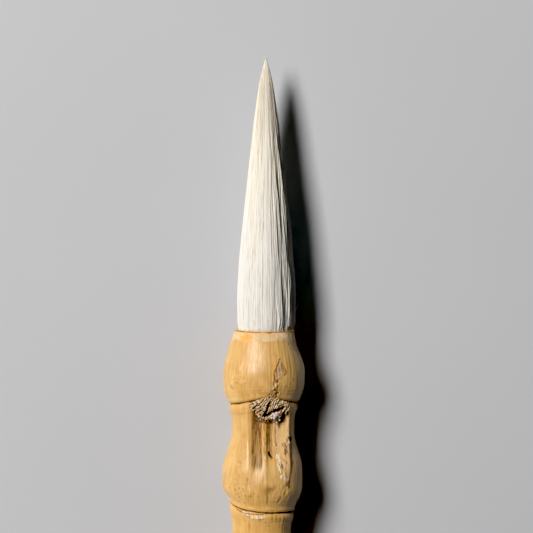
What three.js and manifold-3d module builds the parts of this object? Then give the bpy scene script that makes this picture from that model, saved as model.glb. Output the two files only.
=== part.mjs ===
// A calligraphy brush: a knotted bamboo handle with a goat-hair tuft set in its mouth and a horn plug in its tail.
//
// Lengths are in millimetres. The brush lies on a table. +Y runs along it from the tail to the tip of the hair, +Z is
// up, and +X is to the right when it is seen from above with the tip at the top. Every piece is laid out from the
// middle of the handle's mouth. The last lines move the brush, so that the origin is on the table under its middle.
import * as THREE from "three";
import { mergeVertices } from "three/addons/utils/BufferGeometryUtils.js";
import Module from "manifold-3d";

const wasm = await Module();
wasm.setup();

// ---------------------------------------------------------------- driving dimensions

// The handle is one bamboo stem. Each stretch ends in a knot. A stretch has its length and the radius of its waist and
// of its belly. A knot has the radius of its lip, the side its branch grew on (degrees from +Z towards +X), how far
// its line leans, and how far the stem's middle has wandered there.
const STRETCHES = [
  { length: 14.6, belly: 8.35, knot: { lip: 7.15, branch: 7, lean: 0.1, x: -0.5, z: -0.1 } },
  { length: 21.9, waist: 6.42, belly: 8.25, knot: { lip: 6.7, branch: 186, lean: -0.75, x: -0.87, z: -0.25 } },
  { length: 25.8, waist: 6.05, belly: 7.9, knot: { lip: 6.5, branch: 4, lean: 0.35, x: -1.15, z: -0.65 } },
  { length: 28, waist: 5.9, belly: 7.55, knot: { lip: 6.3, branch: 177, lean: -0.3, x: -0.9, z: -1.0 } },
  { length: 31, waist: 5.75, belly: 7.2, knot: { lip: 6.1, branch: -5, lean: 0.25, x: -0.35, z: -1.35 } },
  { length: 33, waist: 5.6, belly: 6.85, knot: { lip: 5.9, branch: 183, lean: -0.35, x: 0.1, z: -1.65 } },
  { length: 33, waist: 5.5, belly: 6.55, knot: { lip: 5.75, branch: 3, lean: 0.2, x: 0.2, z: -1.9 } },
];
const MOUTH_RADIUS = 6.2;
const MOUTH_X = -0.35; // the stem's outside is this far to one side of its socket at the mouth
const MOUTH_FLARE = 9; // the first belly is reached this far from the mouth
const MOUTH_CONE = 8; // the flare is halfway between a cone of this length and a rounded one
const FIRST_FALL = 11.7; // from here the first belly narrows to its knot
const TAIL_STUB = 9; // bamboo past the last knot
const TAIL_RADIUS = 5.5;

const KNOT_NOTCH = 0.3; // the line under a lip: its depth, and how far past the lip it is
const KNOT_NOTCH_AT = 0.3;
const KNOT_RIDGE = 0.2; // the ring after the line stands this much inside the lip
const KNOT_RIDGE_AT = 1.2;
const KNOT_ARCH = 1.4; // the line climbs towards the mouth over the branch by this much
const KNOT_ARCH_SPREAD = 50; // degrees
const KNOT_FADE = 6; // a knot's lean dies out this far from it

const GROOVE_DEPTH = 0.9; // the channel that runs from a branch along the next stretch
const GROOVE_FLAT = 22; // degrees from its middle to the foot of its sides
const GROOVE_EDGE = 36; // degrees from its middle to the top of its sides
const GROOVE_SHARE = 0.8; // of the stretch's length

const STUB_AFTER = 1.9; // the middle of a branch's cut stub, past its knot
const STUB_HALF = { across: 3.9, along: 1.9, deep: 1.9 };
const STUB_SUNK = 1.4; // its middle is this much inside the lip

const SOCKET_RADIUS = 5.35;
const SOCKET_DEPTH = 12;
const GAP = 0.12; // between pieces that meet
const GLUE_WALL = 0.3;
const GLUE_TOP = -0.8;
const RESIN_THICK = 0.9;
const RESIN_RADIUS = 4.6;

// The tuft: its radius by the distance from the mouth. Under the first of these points it narrows into the socket.
const TUFT_LENGTH = 56.2;
const TUFT_FREE = [[2.2, 5.75], [7, 5.8], [12, 5.6], [17, 5.2], [27, 4.15], [37, 3.05], [46.5, 1.95], [52, 1.1]];
const TUFT_SOCKETED = [[-12, 4.2], [-7, 4.2], [-5.2, 4.85], [-1, 4.85], [2.2, 5.75]];
const COVER_THICK = 1.3; // the outer hair, laid round the core
const CORE_LENGTH = 49;

// The free hair turns on the rooted hair like a ball in a cup. The ball's middle is where the tuft bends.
const BEND_AT = 16;
const BALL_RADIUS = 6.6;
const BALL_GAP = 0.3;

const THREAD_RADIUS = 0.16;
const THREAD_PITCH = 0.4;
const THREAD_TURNS = 6;
const THREAD_FROM = -9.7;

const BEAD = { radius: 5.68, at: 0.4, halfWide: 0.25, halfHigh: 0.27 };

const PLUG_LENGTH = 8.6;
const TENON_LENGTH = 5;
const TENON_RADIUS = 3.1;
const CORD_HOLE_RADIUS = 1.15;
const CORD_HOLE_DEPTH = 6;

const STEM_SIDES = 30;
const HAIR_SIDES = 20;
const STEM_STEP = 2.9; // between rings of vertices
const HAIR_STEP = 3;

// ---------------------------------------------------------------- materials

const finish = (color, roughness, metalness = 0) => new THREE.MeshStandardMaterial({ color, roughness, metalness });
const BAMBOO = finish(0xdcb069, 0.42);
const COVER_HAIR = finish(0xf0e9da, 0.6);
const CORE_HAIR = finish(0xe6dcc4, 0.6);
const RESIN = finish(0x7a4a22, 0.35);
const GLUE = finish(0xd59a3e, 0.35);
const THREAD = finish(0xe8e2d0, 0.85);
const HORN = finish(0x33251d, 0.35);

// ---------------------------------------------------------------- helpers

const { clamp, degToRad, euclideanModulo, radToDeg, smoothstep } = THREE.MathUtils;

// The value at a place among [place, value] pairs. `bend` shapes the way from one pair to the next.
function between(pairs, at, bend = (t) => t) {
  const next = clamp(pairs.findIndex(([place]) => place > at), -1, pairs.length - 1);
  if (next === 0) return pairs[0][1];
  if (next < 0) return pairs.at(-1)[1];
  const [[a, from], [b, to]] = [pairs[next - 1], pairs[next]];
  return from + (to - from) * bend((at - a) / (b - a));
}

const eased = (t) => smoothstep(t, 0, 1);

// Even places from one number to another, no further apart than the step.
function steps(from, to, step) {
  const count = Math.max(1, Math.ceil(Math.abs(to - from) / step));
  return Array.from({ length: count + 1 }, (_, i) => from + ((to - from) * i) / count);
}

// A profile is a list of [radius, y] pairs that goes up the outside and down any hollow. The first flat is halfway
// round to +X, which puts another one underneath, so the brush doesn't rest on a row of corners.
function turned(profile, sides) {
  return new THREE.LatheGeometry(profile.map(([r, y]) => new THREE.Vector2(r, y)), sides, Math.PI / sides);
}

function solid(geometry) {
  const merged = mergeVertices(geometry.clone().deleteAttribute("normal").deleteAttribute("uv"), 1e-4);
  const vertProperties = merged.attributes.position.array;
  return new wasm.Manifold(new wasm.Mesh({ numProp: 3, vertProperties, triVerts: new Uint32Array(merged.index.array) }));
}

function geometryOf(manifold) {
  const { vertProperties, triVerts } = manifold.getMesh();
  const geometry = new THREE.BufferGeometry();
  geometry.setAttribute("position", new THREE.BufferAttribute(vertProperties, 3));
  geometry.setIndex(new THREE.BufferAttribute(triVerts, 1));
  geometry.computeVertexNormals();
  return geometry;
}

const brush = new THREE.Group();
brush.name = "calligraphy_brush";

function piece(name, geometry, material) {
  const mesh = new THREE.Mesh(geometry, material);
  mesh.name = name;
  brush.add(mesh);
}

// ---------------------------------------------------------------- the bamboo stem

// Each knot with its distance from the mouth.
const knots = [];
for (const { length, knot } of STRETCHES) knots.push({ ...knot, at: (knots.at(-1)?.at ?? 0) + length });
const lastKnot = knots.at(-1);
const STEM_LENGTH = lastKnot.at + TAIL_STUB;

// Where the stem's middle is, as [distance from the mouth, x or z] pairs.
const wanderX = [[0, MOUTH_X], ...knots.map(({ at, x }) => [at, x])];
const wanderZ = [[0, 0], [SOCKET_DEPTH, 0], ...knots.map(({ at, z }) => [at, z])];

// The start of a stretch, just past a knot, as [distance past the knot, radius] pairs.
const afterKnot = ({ lip }) => [[0, lip], [KNOT_NOTCH_AT, lip - KNOT_NOTCH], [KNOT_RIDGE_AT, lip - KNOT_RIDGE]];

// The places of the rings of a stretch and their radii, from just past its start to its end.
function ringsOf({ length, waist, belly, knot }, i) {
  if (i === 0) {
    const flare = steps(0, MOUTH_FLARE, 2.3).map((s) => {
      const share = (Math.min(1, s / MOUTH_CONE) + Math.sin(((s / MOUTH_FLARE) * Math.PI) / 2)) / 2;
      return [s, MOUTH_RADIUS + (belly - MOUTH_RADIUS) * share];
    });
    const fall = [[FIRST_FALL, belly], [length, knot.lip]];
    return [...flare, ...steps(FIRST_FALL, length, 1.3).map((s) => [s, between(fall, s, eased)])];
  }
  const start = afterKnot(knots[i - 1]);
  const rest = [[0.17, waist], [0.285, waist], [0.65, belly], [0.775, belly], [1, knot.lip]];
  const keys = [...start, ...rest.map(([share, radius]) => [share * length, radius])];
  const places = steps(KNOT_RIDGE_AT, length, STEM_STEP);
  return [...start.slice(1), ...places.slice(1).map((s) => [s, between(keys, s, eased)])];
}

function stemOutline() {
  const outline = STRETCHES.flatMap((stretch, i) => {
    const from = knots[i].at - stretch.length;
    return ringsOf(stretch, i).map(([s, radius]) => [radius, -from - s]);
  });
  const tail = [...afterKnot(lastKnot).slice(1), [4, TAIL_RADIUS], [TAIL_STUB, TAIL_RADIUS]];
  return [...outline, ...tail.map(([s, radius]) => [radius, -lastKnot.at - s])];
}

// The angle between two directions round the stem, from -180 to 180 degrees.
const apart = (degrees, other) => euclideanModulo(degrees - other + 180, 360) - 180;

// How far the knots' lines pull the surface towards the mouth.
function pull(at, degrees) {
  const pulls = knots.map((knot) => {
    const overBranch = apart(degrees, knot.branch) / KNOT_ARCH_SPREAD;
    const here = knot.lean * Math.sin(degToRad(degrees)) + KNOT_ARCH * Math.exp(-overBranch * overBranch);
    return here * (1 - eased(Math.abs(at - knot.at) / KNOT_FADE));
  });
  return pulls.reduce((sum, one) => sum + one, 0);
}

function grooveDepth(at, degrees) {
  const i = knots.findLastIndex((knot) => knot.at < at);
  if (i < 0) return 0;
  const reach = (STRETCHES[i + 1]?.length ?? TAIL_STUB) * GROOVE_SHARE;
  const run = at - knots[i].at;
  const across = 1 - smoothstep(Math.abs(apart(degrees, knots[i].branch)), GROOVE_FLAT, GROOVE_EDGE);
  return GROOVE_DEPTH * across * eased(run / KNOT_RIDGE_AT) * (1 - smoothstep(run / reach, 0.35, 1));
}

// Turns the plain turned stem into a grown one: grooves, leaning knots and a middle that wanders.
function grow(geometry, hollow) {
  const position = geometry.attributes.position;
  for (let i = 0; i < position.count; i++) {
    const [x, y, z] = [position.getX(i), position.getY(i), position.getZ(i)];
    const radius = Math.hypot(x, z);
    const degrees = radToDeg(Math.atan2(x, z));
    const outside = radius > hollow(-y) + 0.2;
    const share = outside ? 1 - grooveDepth(-y, degrees) / radius : 1;
    const rise = outside ? pull(-y, degrees) : 0;
    const drift = outside || -y > SOCKET_DEPTH ? between(wanderX, -y) : 0;
    position.setXYZ(i, x * share + drift, y + rise, z * share + between(wanderZ, -y));
  }
  return geometry;
}

// The cut stub of a branch, half sunk in the stem.
function stub(knot) {
  const size = knot.lip / knots[0].lip;
  const shape = new THREE.SphereGeometry(1, 12, 8);
  shape.scale(STUB_HALF.across * size, STUB_HALF.along * size, STUB_HALF.deep * size);
  shape.translate(0, KNOT_ARCH / 2 - knot.at - STUB_AFTER, knot.lip - STUB_SUNK * size);
  return shape.rotateY(degToRad(knot.branch)).translate(knot.x, 0, knot.z);
}

function makeStem() {
  const tenonBore = TENON_RADIUS + GLUE_WALL + 2 * GAP;
  const tenonTop = -STEM_LENGTH + TENON_LENGTH + GLUE_WALL + 2 * GAP;
  const profile = [
    [0, tenonTop],
    [tenonBore, tenonTop],
    [tenonBore, -STEM_LENGTH],
    ...stemOutline().reverse(),
    [SOCKET_RADIUS, 0],
    [SOCKET_RADIUS, -SOCKET_DEPTH],
    [0, -SOCKET_DEPTH],
  ];
  const hollow = (at) => (at <= SOCKET_DEPTH ? SOCKET_RADIUS : tenonBore);
  let stem = solid(grow(turned(profile, STEM_SIDES), hollow));
  for (const knot of knots) stem = stem.add(solid(stub(knot)));
  piece("bamboo_stem", geometryOf(stem), BAMBOO);
}

// ---------------------------------------------------------------- the hair

const tuftPoints = [...TUFT_FREE, [TUFT_LENGTH, 0]].map(([y, radius]) => new THREE.Vector2(y, radius));
const tuftCurve = new THREE.SplineCurve(tuftPoints).getPoints(90).map((p) => [p.x, p.y]);

const outerFace = (y) => (y < TUFT_FREE[0][0] ? between(TUFT_SOCKETED, y, eased) : between(tuftCurve, y));
const coverInside = (y) => Math.max(outerFace(y) - COVER_THICK, 0);
const coreFace = (y) => Math.max(coverInside(y) - GAP, 0);

// The height where a face of the hair meets a ball round the bend.
function ballFoot(face, ball) {
  let y = BEND_AT - ball;
  for (let i = 0; i < 30; i++) y = BEND_AT - Math.sqrt(ball ** 2 - face(y) ** 2);
  return y;
}

// The ball's underside between two radii, as [radius, y] pairs.
const underBall = (ball, from, to, count) => {
  return steps(from, to, Math.abs(to - from) / count).map((r) => [r, BEND_AT - Math.sqrt(ball ** 2 - r ** 2)]);
};

// A face of the hair as [radius, y] pairs, from one height to another, with more of them where it turns.
const turns = TUFT_SOCKETED.slice(1, -1).map(([y]) => y);
const levels = [...turns, ...steps(turns.at(-1) + 0.8, TUFT_FREE[0][0], 0.8), ...steps(4, TUFT_LENGTH, HAIR_STEP)];
function face(of, from, to) {
  const inside = levels.filter((y) => y > Math.min(from, to) + 0.3 && y < Math.max(from, to) - 0.3);
  if (from > to) inside.reverse();
  return [from, ...inside, to].map((y) => [of(y), y]);
}

const ROOT_END = -SOCKET_DEPTH + GLUE_WALL + RESIN_THICK + 3 * GAP;

function makeHair() {
  const cup = BALL_RADIUS + BALL_GAP;
  const coverTop = ballFoot(outerFace, cup);
  const insideTop = ballFoot(coverInside, cup);
  const coreTop = ballFoot(coreFace, cup);
  const rise = face(outerFace, ROOT_END, coverTop);
  const cover = [
    ...rise,
    ...underBall(cup, outerFace(coverTop), coverInside(insideTop), 2).slice(1),
    ...face(coverInside, insideTop, ROOT_END).slice(1),
    rise[0],
  ];
  piece("cover_hair_root", turned(cover, HAIR_SIDES), COVER_HAIR);
  const coreRise = face(coreFace, ROOT_END, coreTop);
  const core = [[0, ROOT_END], ...coreRise, ...underBall(cup, coreFace(coreTop), 0, 3).slice(1)];
  piece("core_hair_root", turned(core, HAIR_SIDES), CORE_HAIR);

  const coverFoot = ballFoot(outerFace, BALL_RADIUS);
  const insideFoot = ballFoot(coverInside, BALL_RADIUS);
  const coreFoot = ballFoot(coreFace, BALL_RADIUS);
  const freeCover = [
    [0, CORE_LENGTH + 1.2],
    ...face(coverInside, CORE_LENGTH, insideFoot),
    ...underBall(BALL_RADIUS, coverInside(insideFoot), outerFace(coverFoot), 2).slice(1),
    ...face(outerFace, coverFoot, TUFT_LENGTH).slice(1, -1),
    [0.45, TUFT_LENGTH - 1.2],
    [0, TUFT_LENGTH],
  ];
  piece("cover_hair", turned(freeCover, HAIR_SIDES), COVER_HAIR);
  const freeCore = [
    ...underBall(BALL_RADIUS, 0, coreFace(coreFoot), 3),
    ...face(coreFace, coreFoot, CORE_LENGTH - 1).slice(1),
    [0, CORE_LENGTH],
  ];
  piece("core_hair", turned(freeCore, HAIR_SIDES), CORE_HAIR);
}

// ---------------------------------------------------------------- what holds the hair

function makeSocketParts() {
  const floor = -SOCKET_DEPTH + GAP;
  const glueOut = SOCKET_RADIUS - GAP;
  const glueIn = glueOut - GLUE_WALL;
  const glue = [[0, floor], [glueOut, floor], [glueOut, GLUE_TOP], [glueIn, GLUE_TOP]];
  glue.push([glueIn, floor + GLUE_WALL], [0, floor + GLUE_WALL]);
  piece("socket_glue", turned(glue, STEM_SIDES), GLUE);

  const low = floor + GLUE_WALL + GAP;
  const high = low + RESIN_THICK;
  const resin = [[0, low], [RESIN_RADIUS - 0.4, low], [RESIN_RADIUS, low + 0.35], [RESIN_RADIUS, high], [0, high]];
  piece("root_resin", turned(resin, HAIR_SIDES), RESIN);

  const ring = steps(0, 360, 60).map((degrees) => {
    const [c, s] = [Math.cos(degToRad(degrees)), Math.sin(degToRad(degrees))];
    return [BEAD.radius + BEAD.halfWide * c, BEAD.at + BEAD.halfHigh * s];
  });
  piece("mouth_bead", turned(ring, STEM_SIDES), GLUE);
}

class Helix extends THREE.Curve {
  getPoint(t, target = new THREE.Vector3()) {
    const turn = t * THREAD_TURNS * 2 * Math.PI;
    const radius = TUFT_SOCKETED[0][1] + GAP + THREAD_RADIUS;
    return target.set(radius * Math.sin(turn), THREAD_FROM + t * THREAD_TURNS * THREAD_PITCH, radius * Math.cos(turn));
  }
}

function makeThread() {
  const section = new THREE.Shape().absarc(0, 0, THREAD_RADIUS, 0, 2 * Math.PI);
  const shape = { steps: 14 * THREAD_TURNS, curveSegments: 3, bevelEnabled: false, extrudePath: new Helix() };
  piece("root_thread", new THREE.ExtrudeGeometry(section, shape), THREAD);
}

// ---------------------------------------------------------------- the tail

function makeTail() {
  const neck = -STEM_LENGTH - GAP;
  const end = neck - PLUG_LENGTH;
  const plug = [
    [0, end + CORD_HOLE_DEPTH],
    [CORD_HOLE_RADIUS, end + CORD_HOLE_DEPTH],
    [CORD_HOLE_RADIUS, end],
    [3.9, end],
    [4.5, end + 0.3],
    [4.95, end + 1],
    [5.15, end + 2.2],
    [5.3, end + 5.6],
    [4.9, end + 6.3],
    [4.9, end + 6.9],
    [5.4, end + 7.4],
    [5.45, neck],
    [TENON_RADIUS, neck],
    [TENON_RADIUS, neck + TENON_LENGTH],
    [0, neck + TENON_LENGTH],
  ];
  const glueIn = TENON_RADIUS + GAP;
  const glueOut = glueIn + GLUE_WALL;
  const lid = neck + TENON_LENGTH + GAP;
  const glue = [[glueOut, neck + 0.6], [glueOut, lid + GLUE_WALL], [0, lid + GLUE_WALL]];
  glue.unshift([0, lid], [glueIn, lid], [glueIn, neck + 0.6]);
  const place = (profile) => turned(profile, STEM_SIDES).translate(lastKnot.x, 0, lastKnot.z);
  piece("tail_plug", place(plug), HORN);
  piece("tail_plug_glue", place(glue), GLUE);
}

makeStem();
makeHair();
makeSocketParts();
makeThread();
makeTail();

const box = new THREE.Box3().setFromObject(brush);
const middle = box.getCenter(new THREE.Vector3());
for (const mesh of brush.children) mesh.geometry.translate(-middle.x, -middle.y, -box.min.z);

export default brush;
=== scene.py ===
"""A calligraphy brush with a knotted bamboo handle and a goat-hair tuft, lying on a pale table.

Lengths here are in millimetres, from the middle of the handle's mouth: +Y points to the tip of the hair, +Z
is up and +X is to the right. new_piece() moves them to their place in the frame, in metres. Along the handle,
a place is its distance from the mouth, and an angle is in degrees from the top towards +X.
"""

import math

import bpy
import numpy as np
from mathutils import Matrix, Vector


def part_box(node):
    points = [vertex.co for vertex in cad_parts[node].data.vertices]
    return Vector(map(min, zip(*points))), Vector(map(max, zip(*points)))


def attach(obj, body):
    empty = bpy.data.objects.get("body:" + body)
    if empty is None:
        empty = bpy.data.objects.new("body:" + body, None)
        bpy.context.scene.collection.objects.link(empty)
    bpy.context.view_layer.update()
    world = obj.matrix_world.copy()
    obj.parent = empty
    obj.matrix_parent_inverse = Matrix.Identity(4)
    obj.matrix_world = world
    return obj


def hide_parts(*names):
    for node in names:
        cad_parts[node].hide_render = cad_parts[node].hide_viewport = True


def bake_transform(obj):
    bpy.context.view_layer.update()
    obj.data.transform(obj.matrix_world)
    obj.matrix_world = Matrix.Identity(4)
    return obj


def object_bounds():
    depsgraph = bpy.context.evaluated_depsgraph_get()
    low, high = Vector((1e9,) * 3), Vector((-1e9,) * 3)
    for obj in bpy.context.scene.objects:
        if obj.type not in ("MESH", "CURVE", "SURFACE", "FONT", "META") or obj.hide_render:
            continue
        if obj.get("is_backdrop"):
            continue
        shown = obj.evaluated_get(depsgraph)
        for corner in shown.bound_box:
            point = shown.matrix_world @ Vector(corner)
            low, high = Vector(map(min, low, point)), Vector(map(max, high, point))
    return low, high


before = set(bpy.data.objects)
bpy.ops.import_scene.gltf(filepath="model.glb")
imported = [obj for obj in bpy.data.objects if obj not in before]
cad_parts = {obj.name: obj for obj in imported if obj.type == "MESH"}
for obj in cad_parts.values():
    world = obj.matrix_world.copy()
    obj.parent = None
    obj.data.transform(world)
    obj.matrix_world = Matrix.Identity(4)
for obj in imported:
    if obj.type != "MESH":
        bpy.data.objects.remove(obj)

CAD_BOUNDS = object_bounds()
MM = 0.001

# ---------------------------------------------------------------- the brush's dimensions, as in the frame

# Each stretch's length, waist radius and belly radius, and its knot's lip radius, branch, lean and middle.
STRETCHES = [
    (14.6, None, 8.35, dict(lip=7.15, branch=7, lean=0.1, x=-0.5, z=-0.1)),
    (21.9, 6.42, 8.25, dict(lip=6.7, branch=186, lean=-0.75, x=-0.87, z=-0.25)),
    (25.8, 6.05, 7.9, dict(lip=6.5, branch=4, lean=0.35, x=-1.15, z=-0.65)),
    (28, 5.9, 7.55, dict(lip=6.3, branch=177, lean=-0.3, x=-0.9, z=-1.0)),
    (31, 5.75, 7.2, dict(lip=6.1, branch=-5, lean=0.25, x=-0.35, z=-1.35)),
    (33, 5.6, 6.85, dict(lip=5.9, branch=183, lean=-0.35, x=0.1, z=-1.65)),
    (33, 5.5, 6.55, dict(lip=5.75, branch=3, lean=0.2, x=0.2, z=-1.9)),
]
MOUTH_RADIUS = 6.2
MOUTH_X = -0.35  # the outside of the stem is this far to one side of its socket
MOUTH_FLARE = 9
MOUTH_CONE = 8  # the flare is halfway between a cone of this length and a rounded one
FIRST_FALL = 10.8  # from here the first belly rounds over to its knot, a little fuller than in the frame
TAIL_STUB = 9
TAIL_RADIUS = 5.5
KNOT_NOTCH, KNOT_NOTCH_AT = 0.3, 0.3
KNOT_RIDGE, KNOT_RIDGE_AT = 0.2, 1.2
KNOT_ARCH, KNOT_ARCH_SPREAD, KNOT_FADE = 1.4, 50, 6
KNOT_BULGES = {1: [(-80, 0.6, 30), (60, 0.4, 40)]}  # where a knot's line climbs more: degrees, rise, spread
SOCKET_RADIUS, SOCKET_DEPTH = 5.35, 12
TENON_BORE = 3.64
TENON_BORE_DEPTH = 5.54
GLUE_GAP = 0.12
BEAD_RADIUS = 5.78
TABLE_BELOW = 0.06  # how far the table is under the frame's lowest point

TUFT_LENGTH = 56.2
HAIRS_A_LAYER = 1050
LOCKS = 160  # the hairs hang together in this many locks
TUFT_FREE = [(2.2, 5.75), (7, 5.8), (12, 5.6), (17, 5.2), (27, 4.15), (37, 3.05), (46.5, 1.95), (52, 1.1)]
TUFT_SOCKETED = [(-12, 4.2), (-7, 4.2), (-5.2, 4.85), (-0.15, 4.85), (0.35, 5.6), (2.2, 5.75)]
ROOT_END = -10.44

knots = []
for length, _, _, knot in STRETCHES:
    knots.append(dict(knot, at=(knots[-1]["at"] if knots else 0) + length))
STEM_LENGTH = knots[-1]["at"] + TAIL_STUB

stem_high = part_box("bamboo_stem")[1]
resin_low, resin_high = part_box("root_resin")
MOUTH = np.array([(resin_low[0] + resin_high[0]) / 2, stem_high[1], (resin_low[2] + resin_high[2]) / 2])

# ---------------------------------------------------------------- helpers


def ease(t):
    t = np.clip(t, 0, 1)
    return t * t * (3 - 2 * t)


def ramp(x, low, high):
    """0 up to low, 1 from high on, and smooth between them."""
    return ease((x - low) / (high - low))


def bell(x, width):
    """1 where x is 0, falling away smoothly on both sides."""
    return np.exp(-((x / width) ** 2))


def window(x, low, high, soft):
    """1 between low and high, with soft sides outside them."""
    return ramp(x, low - soft, low) * (1 - ramp(x, high, high + soft))


def through(keys, x):
    """A smooth run through (place, value) pairs, level at each of them."""
    places, values = np.array(keys, float).T
    i = np.clip(np.searchsorted(places, x, side="right") - 1, 0, len(places) - 2)
    t = ease((x - places[i]) / (places[i + 1] - places[i]))
    return values[i] + (values[i + 1] - values[i]) * t


def flowing(keys, x):
    """A smooth curve through (place, value) pairs that doesn't level off at them."""
    places, values = np.array(keys, float).T
    slopes = np.gradient(values, places)
    i = np.clip(np.searchsorted(places, x, side="right") - 1, 0, len(places) - 2)
    width = places[i + 1] - places[i]
    t = np.clip((x - places[i]) / width, 0, 1)
    a = 2 * t**3 - 3 * t**2 + 1
    b = t**3 - 2 * t**2 + t
    c = t**3 - t**2
    return a * values[i] + b * width * slopes[i] + (1 - a) * values[i + 1] + c * width * slopes[i + 1]


def noise(turn, place, around, step, seed):
    """Smooth noise from -1 to 1, with so many cells in a turn and one a step along place."""
    rows = 97
    table = np.random.default_rng(seed).uniform(-1, 1, (around, rows))
    a, b = turn * around, place / step
    i, j = np.floor(a).astype(int), np.floor(b).astype(int)
    s, t = ease(a - i), ease(b - j)
    corner = lambda di, dj: table[(i + di) % around, (j + dj) % rows]
    near = corner(0, 0) * (1 - s) + corner(1, 0) * s
    far = corner(0, 1) * (1 - s) + corner(1, 1) * s
    return near * (1 - t) + far * t


def apart(degrees, other):
    """The angle between two directions round the stem, from -180 to 180 degrees."""
    return (degrees - other + 180) % 360 - 180


def wear(piece, material):
    piece.data.materials.clear()
    piece.data.materials.append(material)


def around_y(radius, angle, y, x=0.0, z=0.0):
    """Points at a radius and an angle from +Z to +X, round a line along Y that may be moved in x and z."""
    return np.stack([radius * np.sin(angle) + x, y, radius * np.cos(angle) + z], -1)


def new_piece(name, points, faces, material, body=None, slot=None, smooth=True, **attributes):
    """A mesh object from points in millimetres. An attribute has a number or a vector for each point."""
    mesh = bpy.data.meshes.new(name)
    mesh.from_pydata((np.asarray(points) * MM + MOUTH).tolist(), [], [list(map(int, f)) for f in faces])
    mesh.polygons.foreach_set("use_smooth", np.full(len(mesh.polygons), smooth))
    for key, values in attributes.items():
        values = np.asarray(values, float)
        if values.ndim == 1:
            mesh.attributes.new(key, "FLOAT", "POINT").data.foreach_set("value", values)
        else:
            mesh.attributes.new(key, "FLOAT_VECTOR", "POINT").data.foreach_set("vector", values.ravel())
    mesh.update()
    piece = bpy.data.objects.new(name, mesh)
    bpy.context.scene.collection.objects.link(piece)
    if body:
        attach(piece, body)
    wear(piece, material)
    return piece


def grid_faces(rings, sides, offset=0):
    """Quads between rings that close on themselves, facing out where the rings go from tip to tail."""
    ring, side = np.meshgrid(np.arange(rings - 1), np.arange(sides), indexing="ij")
    a = offset + ring * sides + side
    b = offset + ring * sides + (side + 1) % sides
    return np.stack([a, a + sides, b + sides, b], -1).reshape(-1, 4)


def closed_faces(rings, sides):
    """The faces of a closed body whose rings go from tip to tail, with an end on its first and last ring."""
    ends = [list(range(sides))[::-1], list(range((rings - 1) * sides, rings * sides))]
    return grid_faces(rings, sides)[:, ::-1].tolist() + ends


# ---------------------------------------------------------------- materials


class Nodes:
    """A material's node tree, with short calls for the nodes that the materials here use."""

    def __init__(self, name):
        self.material = bpy.data.materials.new(name)
        self.material.use_nodes = True
        self.tree = self.material.node_tree
        self.tree.nodes.clear()
        self.output = self.node("ShaderNodeOutputMaterial")
        self.shader = self.node("ShaderNodeBsdfPrincipled")
        self.tree.links.new(self.shader.outputs[0], self.output.inputs["Surface"])

    def node(self, kind, **inputs):
        node = self.tree.nodes.new(kind)
        for key, value in inputs.items():
            self.set(node, key.replace("_", " "), value)
        return node

    def set(self, node, socket, value):
        if isinstance(value, bpy.types.NodeSocket):
            self.tree.links.new(value, node.inputs[socket])
        else:
            node.inputs[socket].default_value = value

    def shade(self, **inputs):
        for key, value in inputs.items():
            self.set(self.shader, key.replace("_", " "), value)

    def attribute(self, name, kind="Fac"):
        node = self.node("ShaderNodeAttribute")
        node.attribute_name = name
        return node.outputs[kind]

    def position(self):
        return self.node("ShaderNodeTexCoord").outputs["Object"]

    def scaled(self, vector, x, y, z):
        node = self.node("ShaderNodeMapping", Vector=vector, Scale=(x, y, z))
        return node.outputs[0]

    def noise(self, vector, scale, detail=2.0, roughness=0.5, distortion=0.0):
        node = self.node("ShaderNodeTexNoise", Vector=vector, Scale=scale, Detail=detail)
        self.set(node, "Roughness", roughness)
        self.set(node, "Distortion", distortion)
        return node.outputs["Fac"]

    def curve(self, value, low, high, to_low=0.0, to_high=1.0):
        node = self.node("ShaderNodeMapRange", Value=value)
        for i, number in enumerate((low, high, to_low, to_high)):
            node.inputs[i + 1].default_value = number
        return node.outputs[0]

    def math(self, operation, a, b):
        node = self.node("ShaderNodeMath")
        node.operation = operation
        self.set(node, 0, a)
        self.set(node, 1, b)
        return node.outputs[0]

    def mix(self, amount, a, b):
        """A mix of two colours, which are sockets or (red, green, blue)."""
        node = self.node("ShaderNodeMix")
        node.data_type = "RGBA"
        self.set(node, 0, amount)
        for socket, value in ((6, a), (7, b)):
            self.set(node, socket, (*value, 1.0) if isinstance(value, tuple) else value)
        return node.outputs[2]

    def over(self, base, value, low, high, most, paint):
        """A colour over the base, from none of it where a value is low to the most where it is high."""
        return self.mix(self.curve(value, low, high, 0, most), base, paint)

    def mixed_number(self, amount, a, b):
        node = self.node("ShaderNodeMix")
        self.set(node, 0, amount)
        self.set(node, 2, a)
        self.set(node, 3, b)
        return node.outputs[0]

    def bump(self, height, distance, strength=1.0):
        node = self.node("ShaderNodeBump", Height=height, Distance=distance * MM, Strength=strength)
        return node.outputs[0]


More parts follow.
